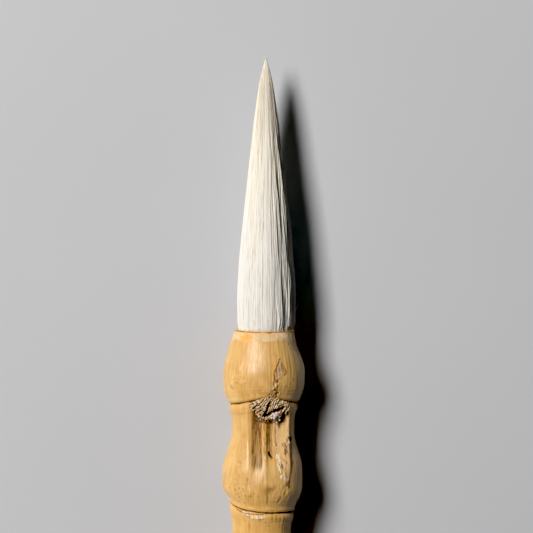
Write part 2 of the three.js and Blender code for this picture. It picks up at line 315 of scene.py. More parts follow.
def make_bamboo():
    """Honey-yellow bamboo. The marks attribute says how dark, pale and orange it is, and the wear attribute
    how far it is peeled to pinkish wood, and how rough."""
    m = Nodes("bamboo")
    grain = m.attribute("grain", "Vector")
    marks = m.node("ShaderNodeSeparateXYZ", Vector=m.attribute("marks", "Vector")).outputs
    worn = m.node("ShaderNodeSeparateXYZ", Vector=m.attribute("wear", "Vector")).outputs

    broad = m.noise(grain, 0.32, 3, 0.55)
    streaks = m.noise(m.scaled(grain, 1, 1, 0.12), 2.6, 4, 0.6)
    fine = m.noise(m.scaled(grain, 1, 1, 0.05), 9.0, 3, 0.6)
    mottle = m.noise(m.scaled(grain, 1, 1, 0.6), 5.5, 4, 0.7)
    base = m.mix(m.curve(broad, 0.3, 0.7), (0.705, 0.428, 0.141), (0.803, 0.531, 0.21))
    base = m.over(base, streaks, 0.52, 0.72, 0.55, (0.90, 0.65, 0.29))
    base = m.over(base, streaks, 0.48, 0.26, 0.6, (0.54, 0.28, 0.07))
    base = m.over(base, fine, 0.42, 0.65, 0.3, (0.52, 0.26, 0.065))
    base = m.over(base, fine, 0.42, 0.25, 0.36, (0.94, 0.71, 0.36))

    dashes = m.noise(m.scaled(grain, 1, 1, 0.3), 3.4, 2, 0.4)
    base = m.over(base, dashes, 0.73, 0.79, 0.55, (0.24, 0.11, 0.035))

    fibrous = m.noise(m.scaled(grain, 1, 1, 0.25), 12.0, 3, 0.7)
    bare = m.mix(m.curve(fibrous, 0.35, 0.65), (0.38, 0.20, 0.095), (0.77, 0.55, 0.37))
    base = m.mix(worn["X"], base, bare)
    chalk = m.mix(m.curve(fibrous, 0.3, 0.6), (0.80, 0.60, 0.36), (0.97, 0.90, 0.76))
    base = m.mix(marks["Y"], base, chalk)
    base = m.over(base, marks["Z"], 0, 1, 0.9, (0.86, 0.45, 0.08))
    dark = m.math("MULTIPLY", marks["X"], m.curve(mottle, 0.3, 0.65, 1.15, 0.8))
    base = m.mix(m.curve(dark, 0.0, 0.6), base, (0.20, 0.085, 0.022))
    base = m.mix(m.curve(dark, 0.6, 1.0), base, (0.018, 0.007, 0.004))

    gloss = m.curve(m.noise(m.scaled(grain, 1, 1, 0.2), 2.2, 4, 0.65), 0.3, 0.7, 0.27, 0.44)
    rough = m.mixed_number(m.math("MAXIMUM", worn["Y"], marks["X"]), gloss, 0.85)
    height = m.math("ADD", m.math("MULTIPLY", fine, 0.9), m.math("MULTIPLY", streaks, 0.9))
    torn = m.math("MULTIPLY", m.math("ADD", mottle, fibrous), m.math("MULTIPLY", worn["Y"], 2.0))
    m.shade(Base_Color=base, Roughness=rough, Normal=m.bump(m.math("ADD", height, torn), 0.045, 0.9))
    m.shader.inputs["Diffuse Roughness"].default_value = 0.7
    return m.material


def make_hair(name, root, tip):
    """Goat hair. tone is a random number per hair, and height goes from 0 at the mouth to 1 at the tip."""
    m = Nodes(name)
    tone = m.attribute("tone")
    height = m.attribute("height")
    place = m.position()
    blotch = m.noise(m.scaled(place, 1, 0.16, 1), 900, 3, 0.6)
    streak = m.noise(m.scaled(place, 1, 0.02, 1), 6500, 2, 0.5)
    yellow = m.math("ADD", m.curve(height, 0.25, 0.85), m.curve(blotch, 0.3, 0.7, -0.3, 0.3))
    base = m.mix(m.curve(yellow, 0.0, 1.0), root, tip)
    base = m.over(base, tone, 0.72, 1.0, 0.5, (0.70, 0.58, 0.40))
    base = m.over(base, tone, 0.25, 0.0, 0.6, (0.93, 0.92, 0.89))
    base = m.over(base, streak, 0.35, 0.7, 0.14, (0.60, 0.50, 0.36))
    rough = m.curve(blotch, 0.3, 0.7, 0.42, 0.58)
    m.shade(Base_Color=base, Roughness=rough, Normal=m.bump(streak, 0.02, 0.6))
    m.shader.inputs["Sheen Weight"].default_value = 0.15
    m.shader.inputs["Diffuse Roughness"].default_value = 0.9
    return m.material


def make_fibre():
    """Dead, torn bamboo fibre. tone goes from dark and grey to pale straw."""
    m = Nodes("dead_fibre")
    tone = m.attribute("tone")
    place = m.position()
    patch = m.noise(place, 2600, 3, 0.6)
    stain = m.noise(place, 900, 3, 0.6)
    base = m.mix(tone, (0.17, 0.075, 0.028), (0.93, 0.72, 0.46))
    base = m.over(base, stain, 0.5, 0.68, 0.65, (0.60, 0.30, 0.10))
    base = m.over(base, patch, 0.5, 0.75, 0.7, (0.26, 0.12, 0.045))
    m.shade(Base_Color=base, Roughness=m.curve(patch, 0.3, 0.7, 0.75, 0.95), Normal=m.bump(patch, 0.05))
    return m.material


def make_crumb(name, light, dark, rough):
    m = Nodes(name)
    patch = m.noise(m.position(), 3000, 4, 0.65)
    m.shade(
        Base_Color=m.mix(m.curve(patch, 0.35, 0.65), dark, light),
        Roughness=m.curve(patch, 0.3, 0.7, rough, min(rough + 0.2, 1)),
        Normal=m.bump(patch, 0.06),
    )
    return m.material


def make_glue():
    """Hardened glue, darker and paler in patches."""
    m = Nodes("glue")
    patch = m.noise(m.position(), 700, 4, 0.6)
    fleck = m.noise(m.position(), 5200, 2, 0.5)
    base = m.mix(m.curve(patch, 0.35, 0.65), (0.62, 0.29, 0.045), (0.85, 0.52, 0.13))
    base = m.over(base, fleck, 0.62, 0.72, 0.6, (0.20, 0.07, 0.015))
    m.shade(Base_Color=base, Roughness=m.curve(fleck, 0.3, 0.7, 0.18, 0.4), Normal=m.bump(patch, 0.05))
    return m.material


def make_resin():
    m = Nodes("fused_resin")
    patch = m.noise(m.position(), 900, 5, 0.65)
    base = m.mix(m.curve(patch, 0.35, 0.65), (0.10, 0.04, 0.015), (0.34, 0.17, 0.06))
    m.shade(Base_Color=base, Roughness=m.curve(patch, 0.3, 0.7, 0.25, 0.55), Normal=m.bump(patch, 0.12))
    return m.material


def make_thread():
    """Twisted linen thread: slanting plies with fuzz."""
    m = Nodes("binding_thread")
    place = m.position()
    wave = m.node("ShaderNodeTexWave", Vector=place, Scale=1500.0, Distortion=1.5)
    wave.bands_direction = "DIAGONAL"
    fuzz = m.noise(place, 6000, 3, 0.7)
    ply = wave.outputs["Fac"]
    base = m.mix(ply, (0.48, 0.42, 0.31), (0.80, 0.76, 0.66))
    base = m.over(base, fuzz, 0.4, 0.7, 0.4, (0.62, 0.55, 0.42))
    m.shade(Base_Color=base, Roughness=m.curve(fuzz, 0.3, 0.7, 0.75, 0.95), Normal=m.bump(ply, 0.05))
    return m.material


def make_horn():
    """Polished dark horn with paler streaks along its grain."""
    m = Nodes("horn")
    place = m.position()
    streak = m.noise(m.scaled(place, 1, 0.12, 1), 700, 5, 0.6, 0.6)
    fine = m.noise(m.scaled(place, 1, 0.06, 1), 3500, 3, 0.6)
    base = m.mix(m.curve(streak, 0.42, 0.7), (0.022, 0.014, 0.010), (0.20, 0.115, 0.055))
    base = m.over(base, fine, 0.5, 0.75, 0.35, (0.34, 0.22, 0.12))
    scratch = m.noise(m.scaled(place, 0.3, 3, 0.3), 2500, 3, 0.6)
    rough = m.curve(scratch, 0.3, 0.7, 0.18, 0.36)
    m.shade(Base_Color=base, Roughness=rough, Normal=m.bump(scratch, 0.01, 0.5))
    return m.material


def make_table():
    m = Nodes("table_paper")
    place = m.position()
    tooth = m.noise(place, 900, 4, 0.6)
    cloud = m.noise(place, 14, 3, 0.5)
    base = m.mix(m.curve(cloud, 0.3, 0.7), (0.525, 0.527, 0.553), (0.545, 0.547, 0.571))
    m.shade(Base_Color=base, Roughness=0.85, Normal=m.bump(tooth, 0.05, 0.35))
    m.shader.inputs["Specular IOR Level"].default_value = 0.2
    return m.material


BAMBOO = make_bamboo()
COVER_HAIR = make_hair("cover_hair", (0.80, 0.785, 0.755), (0.86, 0.80, 0.685))
CORE_HAIR = make_hair("core_hair", (0.80, 0.75, 0.64), (0.76, 0.64, 0.42))
FIBRE = make_fibre()
CHALK = make_crumb("pale_crumb", (0.84, 0.77, 0.70), (0.62, 0.46, 0.36), 0.8)
SKIN = make_crumb("skin_crumb", (0.86, 0.58, 0.38), (0.48, 0.24, 0.12), 0.75)
RUST = make_crumb("rust_flake", (0.66, 0.19, 0.03), (0.34, 0.09, 0.02), 0.6)
STRAW = make_crumb("straw_crumb", (0.80, 0.56, 0.28), (0.30, 0.15, 0.05), 0.7)
BARK = make_crumb("bark_crumb", (0.46, 0.28, 0.14), (0.16, 0.08, 0.03), 0.8)
GLUE = make_glue()
RESIN = make_resin()
THREAD = make_thread()
HORN = make_horn()

# ---------------------------------------------------------------- the bamboo stem

STEM_SIDES = 240
GRAIN_RADIUS = 8  # the fibres' pattern is laid out round a circle of this radius
GRAIN_SHIFT = 400  # the pattern moves on by this much from each stretch to the next
DETAILED = 37  # mm from the mouth: the mesh is finer up to here
SEEN_SIDE = 85  # degrees to each side of the top, which are seen in the photo
SPINDLES_FROM, SPECKS_FROM = 46, 37  # mm from the mouth: chance adds marks to the seen side from here on
FRONT_CROWDING = 25  # degrees: how far the sides of the mesh are drawn round to the top, where the detail is


def after_knot(knot):
    lip = knot["lip"]
    return [(0, lip), (KNOT_NOTCH_AT, lip - KNOT_NOTCH), (KNOT_RIDGE_AT, lip - KNOT_RIDGE)]


def plain_radius(s):
    """The stem's radius before anything has grown on it, by the distance from the mouth."""
    radius = np.empty_like(s)
    for i, (length, waist, belly, knot) in enumerate(STRETCHES):
        start = knots[i]["at"] - length
        here = (s >= start) & (s <= knots[i]["at"])
        run = s[here] - start
        if i == 0:
            cone = np.minimum(1, run / MOUTH_CONE)
            share = (cone + np.sin(np.minimum(1, run / MOUTH_FLARE) * math.pi / 2)) / 2
            flare = MOUTH_RADIUS + (belly - MOUTH_RADIUS) * share
            fallen = np.maximum(run - FIRST_FALL, 0) / (length - FIRST_FALL)
            fall = belly - (belly - knot["lip"]) * fallen**2
            radius[here] = np.where(run < MOUTH_FLARE, flare, fall)
            continue
        shares = [(0.17, waist), (0.285, waist), (0.65, belly), (0.81, belly), (1, knot["lip"])]
        keys = after_knot(knots[i - 1]) + [(share * length, value) for share, value in shares]
        radius[here] = through(keys, run)
    last = s > knots[-1]["at"]
    keys = after_knot(knots[-1]) + [(4, TAIL_RADIUS), (TAIL_STUB, TAIL_RADIUS)]
    radius[last] = through(keys, s[last] - knots[-1]["at"])
    return radius


def rounded_radius(s):
    """The plain radius with its changes of slope rounded off, away from the knots and the mouth."""
    nearest = np.minimum.reduce([np.abs(s - knot["at"]) for knot in knots] + [s])
    reach = 0.85 * ease(nearest / 4)
    steps = np.linspace(-2, 2, 13)
    weights = np.exp(-(steps**2))
    total = sum(weight * plain_radius(s + reach * step) for weight, step in zip(weights, steps))
    return total / weights.sum()


def wander(axis, s):
    """Where the stem's middle is, in x or in z."""
    level = [(0, MOUTH_X)] if axis == "x" else [(0, 0), (SOCKET_DEPTH, 0)]
    places, values = zip(*level, *[(knot["at"], knot[axis]) for knot in knots])
    return np.interp(s, places, values)


def pull(s, degrees):
    """How far the knots' lines pull the surface towards the mouth."""
    total = np.zeros(np.broadcast(s, degrees).shape)
    for i, knot in enumerate(knots):
        bulges = [(knot["branch"], KNOT_ARCH, KNOT_ARCH_SPREAD)] + KNOT_BULGES.get(i, [])
        here = knot["lean"] * np.sin(np.radians(degrees))
        here = here + sum(rise * bell(apart(degrees, side), spread) for side, rise, spread in bulges)
        total += here * (1 - ease(np.abs(s - knot["at"]) / KNOT_FADE))
    return total


def ring_places(start, end):
    """Where the mesh has rings: closer together near the mouth and the knots, where the marks are finest."""
    places, s = [], start
    while s < end:
        places.append(s)
        nearest = min([abs(s - knot["at"] - 0.5) for knot in knots] + [s])
        step = 0.09 + 0.15 * float(ease((nearest - 1.0) / 2.5))
        s += min(step, 0.125) if s < DETAILED else step
    return np.array(places + [end])


def distance_to_line(u, v, points):
    """How far each (u, v) is from a line through the points."""
    nearest = np.full(np.shape(u), np.inf)
    for (u0, v0), (u1, v1) in zip(points, points[1:]):
        du, dv = u1 - u0, v1 - v0
        t = np.clip(((u - u0) * du + (v - v0) * dv) / (du * du + dv * dv), 0, 1)
        nearest = np.minimum(nearest, np.hypot(u - u0 - t * du, v - v0 - t * dv))
    return nearest


def depth_inside(u, v, outline):
    """How far each (u, v) is inside a closed outline, and below 0 outside it."""
    inside = np.zeros(np.shape(u), bool)
    for (u0, v0), (u1, v1) in zip(outline, outline[1:] + outline[:1]):
        crosses = (v0 > v) != (v1 > v)
        inside ^= crosses & (u < u0 + (v - v0) * (u1 - u0) / (v1 - v0 if v1 != v0 else 1))
    away = distance_to_line(u, v, outline + outline[:1])
    return np.where(inside, away, -away)


class Surface:
    """A stretch of the stem's outside as a grid of points, with the marks that are painted on it."""

    def __init__(self, start, end):
        self.s, turn = np.meshgrid(ring_places(start, end), np.arange(STEM_SIDES) / STEM_SIDES, indexing="ij")
        self.degrees = 360 * turn - FRONT_CROWDING * np.sin(2 * math.pi * turn)
        self.turn = self.degrees / 360
        self.radius = rounded_radius(self.s)
        self.at = self.s - pull(self.s, self.degrees)
        self.x = self.radius * np.sin(np.radians(self.degrees))
        self.top = ramp(np.cos(np.radians(self.degrees)), 0.0, 0.2)
        self.relief = np.zeros_like(self.s)
        self.dark, self.pale, self.orange = (np.zeros_like(self.s) for _ in range(3))
        self.peeled, self.rough = np.zeros_like(self.s), np.zeros_like(self.s)

    def noise(self, around, step, seed):
        return noise(self.turn, self.at, around, step, seed)

    def flecks(self, around, step, seed, low, high):
        """1 where a noise is above high, 0 where it is below low, and smooth between them."""
        return ramp(self.noise(around, step, seed), low, high)

    def spot(self, x, at, wide, long):
        """A soft spot on the side that faces up, by its x and its distance from the mouth."""
        return self.top * np.exp(-(((self.x - x) / wide) ** 2) - ((self.at - at) / long) ** 2)

    def stroke(self, points, width, ragged=0.0, seed=0, down=None):
        """A soft line on the upper side, by x and at, or x and down. Ragged is how unevenly wide it is."""
        away = distance_to_line(self.x, self.at if down is None else down, points)
        width = width * (1 + ragged * self.noise(150, 0.6, 900 + seed))
        return self.top * bell(away, width)

    def patch(self, outline, soft, ragged=0.0, seed=0, down=None):
        """The inside and the edge of an outline on the upper side, by x and at, or x and down."""
        fray = self.noise(170, 0.55, 930 + seed) + 0.6 * self.noise(240, 0.3, 960 + seed)
        depth = depth_inside(self.x, self.at if down is None else down, outline) + ragged * fray
        return self.top * ramp(depth, -soft, soft), self.top * bell(depth, 1.6 * soft)

    def darken(self, amount):
        self.dark = np.maximum(self.dark, amount)

    def lighten(self, amount):
        self.pale = np.maximum(self.pale, amount)

    def redden(self, amount):
        self.orange = np.maximum(self.orange, amount)

    def roughen(self, amount):
        self.rough = np.maximum(self.rough, amount)

    def peel(self, amount):
        self.peeled = np.maximum(self.peeled, amount)

    def points(self):
        radius, angle = self.radius + self.relief, np.radians(self.degrees)
        return around_y(radius, angle, -self.at, wander("x", self.s), wander("z", self.s))

    def grain(self):
        """Coordinates that run true along the fibres, with a fresh piece of the pattern in each stretch."""
        stretch = np.searchsorted([knot["at"] for knot in knots], self.s)
        angle = np.radians(self.degrees)
        across = [GRAIN_RADIUS * np.sin(angle), GRAIN_RADIUS * np.cos(angle)]
        return np.stack([*across, self.at + GRAIN_SHIFT * stretch], -1)


def mark_knot(f, i, knot):
    """The dark line of a knot, its lip and ring, and the small flaws along them."""
    run = f.s - knot["at"]
    flaw = 0.5 + 0.5 * f.noise(34, 3, 100 + i)
    fray = f.noise(110, 1.2, 120 + i)
    line = bell(run - 0.3 + 0.05 * fray, 0.1 + 0.06 * flaw)
    f.relief -= 0.2 * line * (0.5 + flaw)
    f.darken(line * (0.72 + 0.28 * flaw))
    lip = bell(run + 0.3, 0.3)
    f.relief += 0.12 * lip + 0.03 * lip * fray
    f.redden(0.5 * bell(run + 0.12, 0.2) * (0.4 + 0.6 * flaw))
    # painted highlight: the swelling lip above the line is lightened in patches where the light catches it
    f.lighten(0.22 * bell(run + 0.7, 0.25) * ramp(fray, 0.0, 0.9))
    wrinkle = sum(bell(run + place + 0.15 * f.noise(20, 2, 130 + i), 0.16) for place in (1.2, 1.9, 2.9))
    f.redden(0.3 * wrinkle * f.flecks(26, 1.5, 132 + i, -0.2, 0.8))
    f.relief -= 0.03 * wrinkle
    ring = bell(run - 1.35, 0.6)
    f.relief += 0.13 * ring * (0.8 + 0.3 * f.noise(17, 4, 140 + i))
    f.redden(0.22 * ring)
    # painted shade: the small step below the ring is darkened as the shade that falls in it
    under = bell(run - 2.35 + 0.1 * f.noise(30, 2, 141 + i), 0.16)
    f.relief -= 0.06 * under
    f.darken(0.2 * under * flaw)
    roots = bell(run - 3.1, 0.8) * f.flecks(150, 9, 160 + i, 0.3, 0.9)
    f.darken(0.3 * roots * (1 - f.top * (i == 0)))


CHANNEL = [  # across the channel that a branch leaves: (distance round the stem from the branch, depth)
    (-4.8, 0), (-4.4, -0.04), (-4.0, -0.12), (-3.65, 0.05), (-3.2, 0.55), (-2.7, 0.92), (-2.0, 1.05),
    (-1.5, 0.9), (-1.1, 0.55), (-0.5, 0.42), (-0.05, 0.55), (0.3, 0.85), (0.8, 1.0), (1.3, 0.98),
    (1.7, 0.85), (2.4, 0.84), (3.1, 0.7), (3.75, 0.4), (4.3, 0.02), (4.7, -0.32), (4.93, -0.42),
    (5.15, -0.2), (5.45, 0), (6.4, 0), (7.2, 0),
]


def side_and_size(i, knot):
    """Which way round a branch's marks lie, and their size against the first knot's."""
    return (1 if i % 4 < 2 else -1), knot["lip"] / knots[0]["lip"]


def across_branch(f, i, knot):
    """The distance round the stem from a branch, mirrored and shrunk from knot to knot."""
    side, size = side_and_size(i, knot)
    return side * np.radians(apart(f.degrees, knot["branch"])) * f.radius / size, size


def mark_groove(f, i, knot):
    """The channel that the branch has left along the next stretch, with its flutes stained."""
    length = STRETCHES[i + 1][0] if i + 1 < len(STRETCHES) else TAIL_STUB
    end = length / STRETCHES[1][0]
    run = f.at - knot["at"] + KNOT_ARCH
    u, size = across_branch(f, i, knot)
    u = u + 0.12 * noise(0 * f.turn, f.at, 1, 5, 200 + i) + 0.06 * f.noise(90, 2.2, 201 + i)
    low, high = CHANNEL[0][0], CHANNEL[-1][0]
    within = (run > 0) * (u > low) * (u < high)
    reach = ramp(run, 1.0, 3.0) * (1 - ramp(run, 10.5 * end, 18.4 * end)) * within
    f.relief -= flowing(CHANNEL, np.clip(u, low, high)) * reach * size
    f.relief -= reach * window(u, -3.4, 4.9, 0.4) * 0.014 * f.noise(190, 1.6, 205 + i)

    stain = ramp(run, 1.0, 2.5) * within
    fibre = 0.5 + 0.5 * f.noise(170, 4, 220 + i)
    mottle = 0.5 + 0.5 * f.noise(210, 0.5, 221 + i)
    dashes = f.flecks(230, 1.6, 226 + i, 0.0, 0.55)
    taper = 0.5 * ramp(run, 13.5 * end, 16.2 * end)
    deep = 1 - ramp(run, 4.5 * end, 9 * end)
    left = window(u, -3.2 + taper, -1.15 - taper, 0.22) * (1 - ramp(run, 13.4 * end, 15.6 * end))
    middle = window(u, 0.0, 1.4, 0.15) * (1 - ramp(run, 10.5 * end, 13.5 * end))
    f.darken(stain * left * (0.25 + 0.16 * fibre + 0.26 * mottle * (0.3 + deep) + 0.26 * dashes))
    f.darken(stain * middle * (0.12 + 0.3 * fibre * mottle + 0.34 * dashes))
    # the foot of the channel's steep left wall is darkened in patches: partly stain, partly painted shade
    # where the wall is turned from the light
    edge = bell(u + 3.2, 0.13) * (1 - ramp(run, 6 * end, 12 * end))
    f.darken(0.5 * reach * edge * f.flecks(60, 2.5, 227 + i, -0.6, 0.3))
    left_core = bell(u + 1.5, 0.2) * window(run, 6.5 * end, 13.5 * end, 1.5)
    f.darken(0.75 * reach * left_core * f.flecks(200, 2.4, 222 + i, -0.5, 0.4))
    core = bell(u - 0.85, 0.13) * window(run, 3, 12 * end, 1)
    f.darken(0.9 * reach * core * f.flecks(70, 0.8, 223 + i, -0.3, 0.3))

    stained = window(u, -3.3, 1.6, 0.4) * (1 - ramp(run, 8 * end, 16 * end))
    f.redden(stain * stained * (0.4 + 0.3 * fibre))
    f.roughen(reach * np.maximum(stained, window(u, 1.2, 4.9, 0.3)) * 0.8)
    wrinkles = ramp(f.noise(120, 1.0, 224 + i) + 0.6 * f.noise(200, 0.5, 225 + i), 0.4, 0.95)
    f.darken(reach * window(u, -0.9, 4.8, 0.2) * wrinkles * 0.45 * (1 - ramp(run, 8 * end, 13 * end)))
    # the flat on the channel's right is lightened: partly its paler tan colour, partly painted light where it
    # faces the lamp
    flat = window(u, 1.8, 5.0, 0.3) * (1 - ramp(run, 9 * end, 13 * end))
    f.lighten(reach * flat * (0.24 + 0.2 * fibre))
    f.redden(0.3 * reach * flat)
    # painted highlight: a thin line along the channel's left rim is lightened as a glint; the ridge beside
    # the middle flute gets pale specks
    rim = bell(u + 4.0, 0.17) * ramp(run, 8 * end, 11 * end)
    ridge = bell(u + 0.6, 0.4) * ramp(run, 4, 9)
    f.darken(reach * 0.3 * bell(u + 0.6, 0.4) * dashes * (1 - ramp(run, 11 * end, 14 * end)))
    bright = 0.5 * rim * (0.6 + 0.5 * mottle) + 0.7 * ridge * f.flecks(200, 0.7, 228 + i, -0.5, 0.5)
    f.lighten(reach * bright)
    blade = bell(u - 4.76, 0.18) * (1 - ramp(run, 7.5 * end, 9.5 * end)) * reach
    f.relief += 0.08 * blade * size
    # the crest of the right rim is reddened to its orange colour, and lightened a little as painted light on
    # its side that faces the lamp
    f.redden(0.6 * blade)
    f.lighten(0.1 * blade)


SCAR = [  # round a branch's scar: (distance round the stem from the branch, distance below the knot's top)
    (-3.75, 1.3), (-3.6, 2.1), (-2.9, 2.75), (-1.8, 3.5), (-1.2, 4.2), (-0.3, 4.45), (0.9, 4.05),
    (2.0, 4.5), (3.2, 4.15), (4.3, 3.3), (5.0, 2.1), (4.5, 1.1), (2.8, 0.4), (0.55, 0.0), (-1.0, 0.1),
    (-2.2, 0.35), (-3.1, 0.85),
]
CREVICES = [  # the splits in a scar, painted black as the shade in them, in the same terms, each with its half width
    ([(0.3, 0.9), (0.1, 1.9), (-0.25, 2.8), (-0.7, 3.5)], 0.17),
    ([(3.5, 2.05), (2.3, 2.35), (1.3, 2.7), (0.6, 3.2), (-0.6, 3.7), (-1.9, 3.6)], 0.2),
    ([(-1.5, 2.6), (-2.0, 3.0)], 0.14),
    ([(-1.4, 3.9), (-0.7, 4.25)], 0.14),
    ([(-1.0, 1.2), (-1.6, 2.1)], 0.06),
    ([(1.9, 1.1), (1.2, 2.1)], 0.05),
    ([(3.6, 1.3), (3.1, 1.8)], 0.05),
    ([(4.0, 3.4), (2.9, 4.2)], 0.14),
    ([(-2.6, 1.75), (-2.9, 2.3)], 0.13),
]
HEAP = (1.95, 3.5, 0.85)  # where pale crumbs cover the fibres: the same two distances, and a radius


def to_crevice(u, v):
    """How far each place in a scar is from the edge of the nearest split."""
    return np.minimum.reduce([distance_to_line(u, v, line) - half for line, half in CREVICES])


def mark_scar(f, i, knot):
    """The torn hollow where the branch was broken off, under its fibres, with painted shade in its splits and
    at its foot.
    """
    u, size = across_branch(f, i, knot)
    v = (f.at - knot["at"] + KNOT_ARCH) / size
    near = (np.abs(v - 2.3) < 4) & (np.abs(u) < 7)
    fray = f.noise(150, 0.5, 240 + i) + 0.6 * f.noise(240, 0.25, 260 + i)
    depth = np.where(near, depth_inside(u, v, SCAR), -4.0) + 0.08 * fray
    mound = ramp(depth, -0.1, 0.35)
    split = (1 - ramp(np.where(near, to_crevice(u, v), 9.0), -0.1, 0.2)) * mound
    sunken = window(u, -2.6, 4.2, 0.4) * window(v, 3.0, 5.0, 0.5) * (1 - mound)
    f.relief += (mound * (0.1 + 0.1 * fray) - 0.8 * split - 0.25 * sunken) * size
    # the mound is painted dark brown, its own colour and also the shade in the gaps between its fibres; the
    # splits and the sunken foot below it are painted dark as the shade in them
    f.darken(mound * (0.8 + 0.2 * np.clip(-fray, 0, 1)))
    f.darken(split)
    f.darken(sunken * (0.55 + 0.45 * np.clip(fray, -1, 1)))
    f.roughen(np.maximum(mound, sunken))
    # painted shade: a dark line round the scar's edge, heaviest on its lower left
    edge = bell(depth + 0.05, 0.12)
    f.darken(0.75 * edge * ramp(f.noise(70, 1.0, 280 + i) + 0.5 * (u < 0) * (v > 1.5), -0.3, 0.5))
    f.redden(0.35 * bell(depth + 0.5, 0.45))


def mark_mouth(f):
    """The pale band that was scraped where the hair was set, with glue soaked into its left."""
    ragged = 0.14 * f.noise(26, 1, 300) + 0.08 * f.noise(90, 1, 301)
    band = 1 - ramp(f.at + ragged + 0.12 * f.noise(170, 0.8, 307), 1.15, 1.95)
    f.relief -= 0.08 * band * (1 + 0.5 * f.noise(44, 0.8, 302))
    chalky = 0.32 + 0.45 * ramp(f.noise(36, 0.8, 303) + 0.5 * f.noise(120, 0.6, 304), -0.1, 0.8)
    f.lighten(band * chalky)
    f.roughen(0.7 * band)
    soaked = [(-4.9, 0.9), (-4.2, 0.2), (-3.0, 0.0), (-2.5, 0.9), (-3.2, 1.9), (-4.6, 1.7)]
    soaked = f.patch(soaked, 0.45, 0.4, 1)[0]
    f.redden(0.45 * f.patch([(-4.9, 1.6), (-3.6, 1.7), (-3.9, 2.3), (-4.6, 2.4)], 0.3, 0.4, 17)[0])
    f.redden(0.85 * soaked)
    f.pale *= 1 - 0.75 * soaked
    f.redden(0.8 * bell(f.at, 0.2))
    f.darken(0.45 * bell(f.at - 0.05, 0.12) * f.flecks(40, 2, 306, 0.1, 0.6))
    step = bell(f.at + ragged - 1.9, 0.12)
    f.darken(0.07 * step * f.flecks(50, 2, 305, -0.2, 0.6))


LOZENGE = [
    (3.2, 5.2), (3.7, 6.2), (4.4, 7.2), (4.35, 8.0), (3.5, 8.9),
    (2.5, 9.8), (2.05, 8.5), (2.25, 7.3), (2.8, 6.2),
]
FLAKES = [  # torn skin on the left of the first belly, as lines of (x, distance from the mouth)
    [(-6.0, 9.4), (-5.75, 8.75), (-5.35, 8.95), (-5.1, 9.5), (-4.6, 9.55), (-4.3, 9.95), (-3.7, 9.85)],
    [(-5.9, 10.1), (-5.4, 9.75), (-5.1, 10.15), (-4.6, 10.2), (-4.35, 10.6)],
    [(-5.2, 8.5), (-4.8, 8.8), (-4.9, 9.2)],
    [(-6.5, 10.6), (-6.3, 11.3)],
]


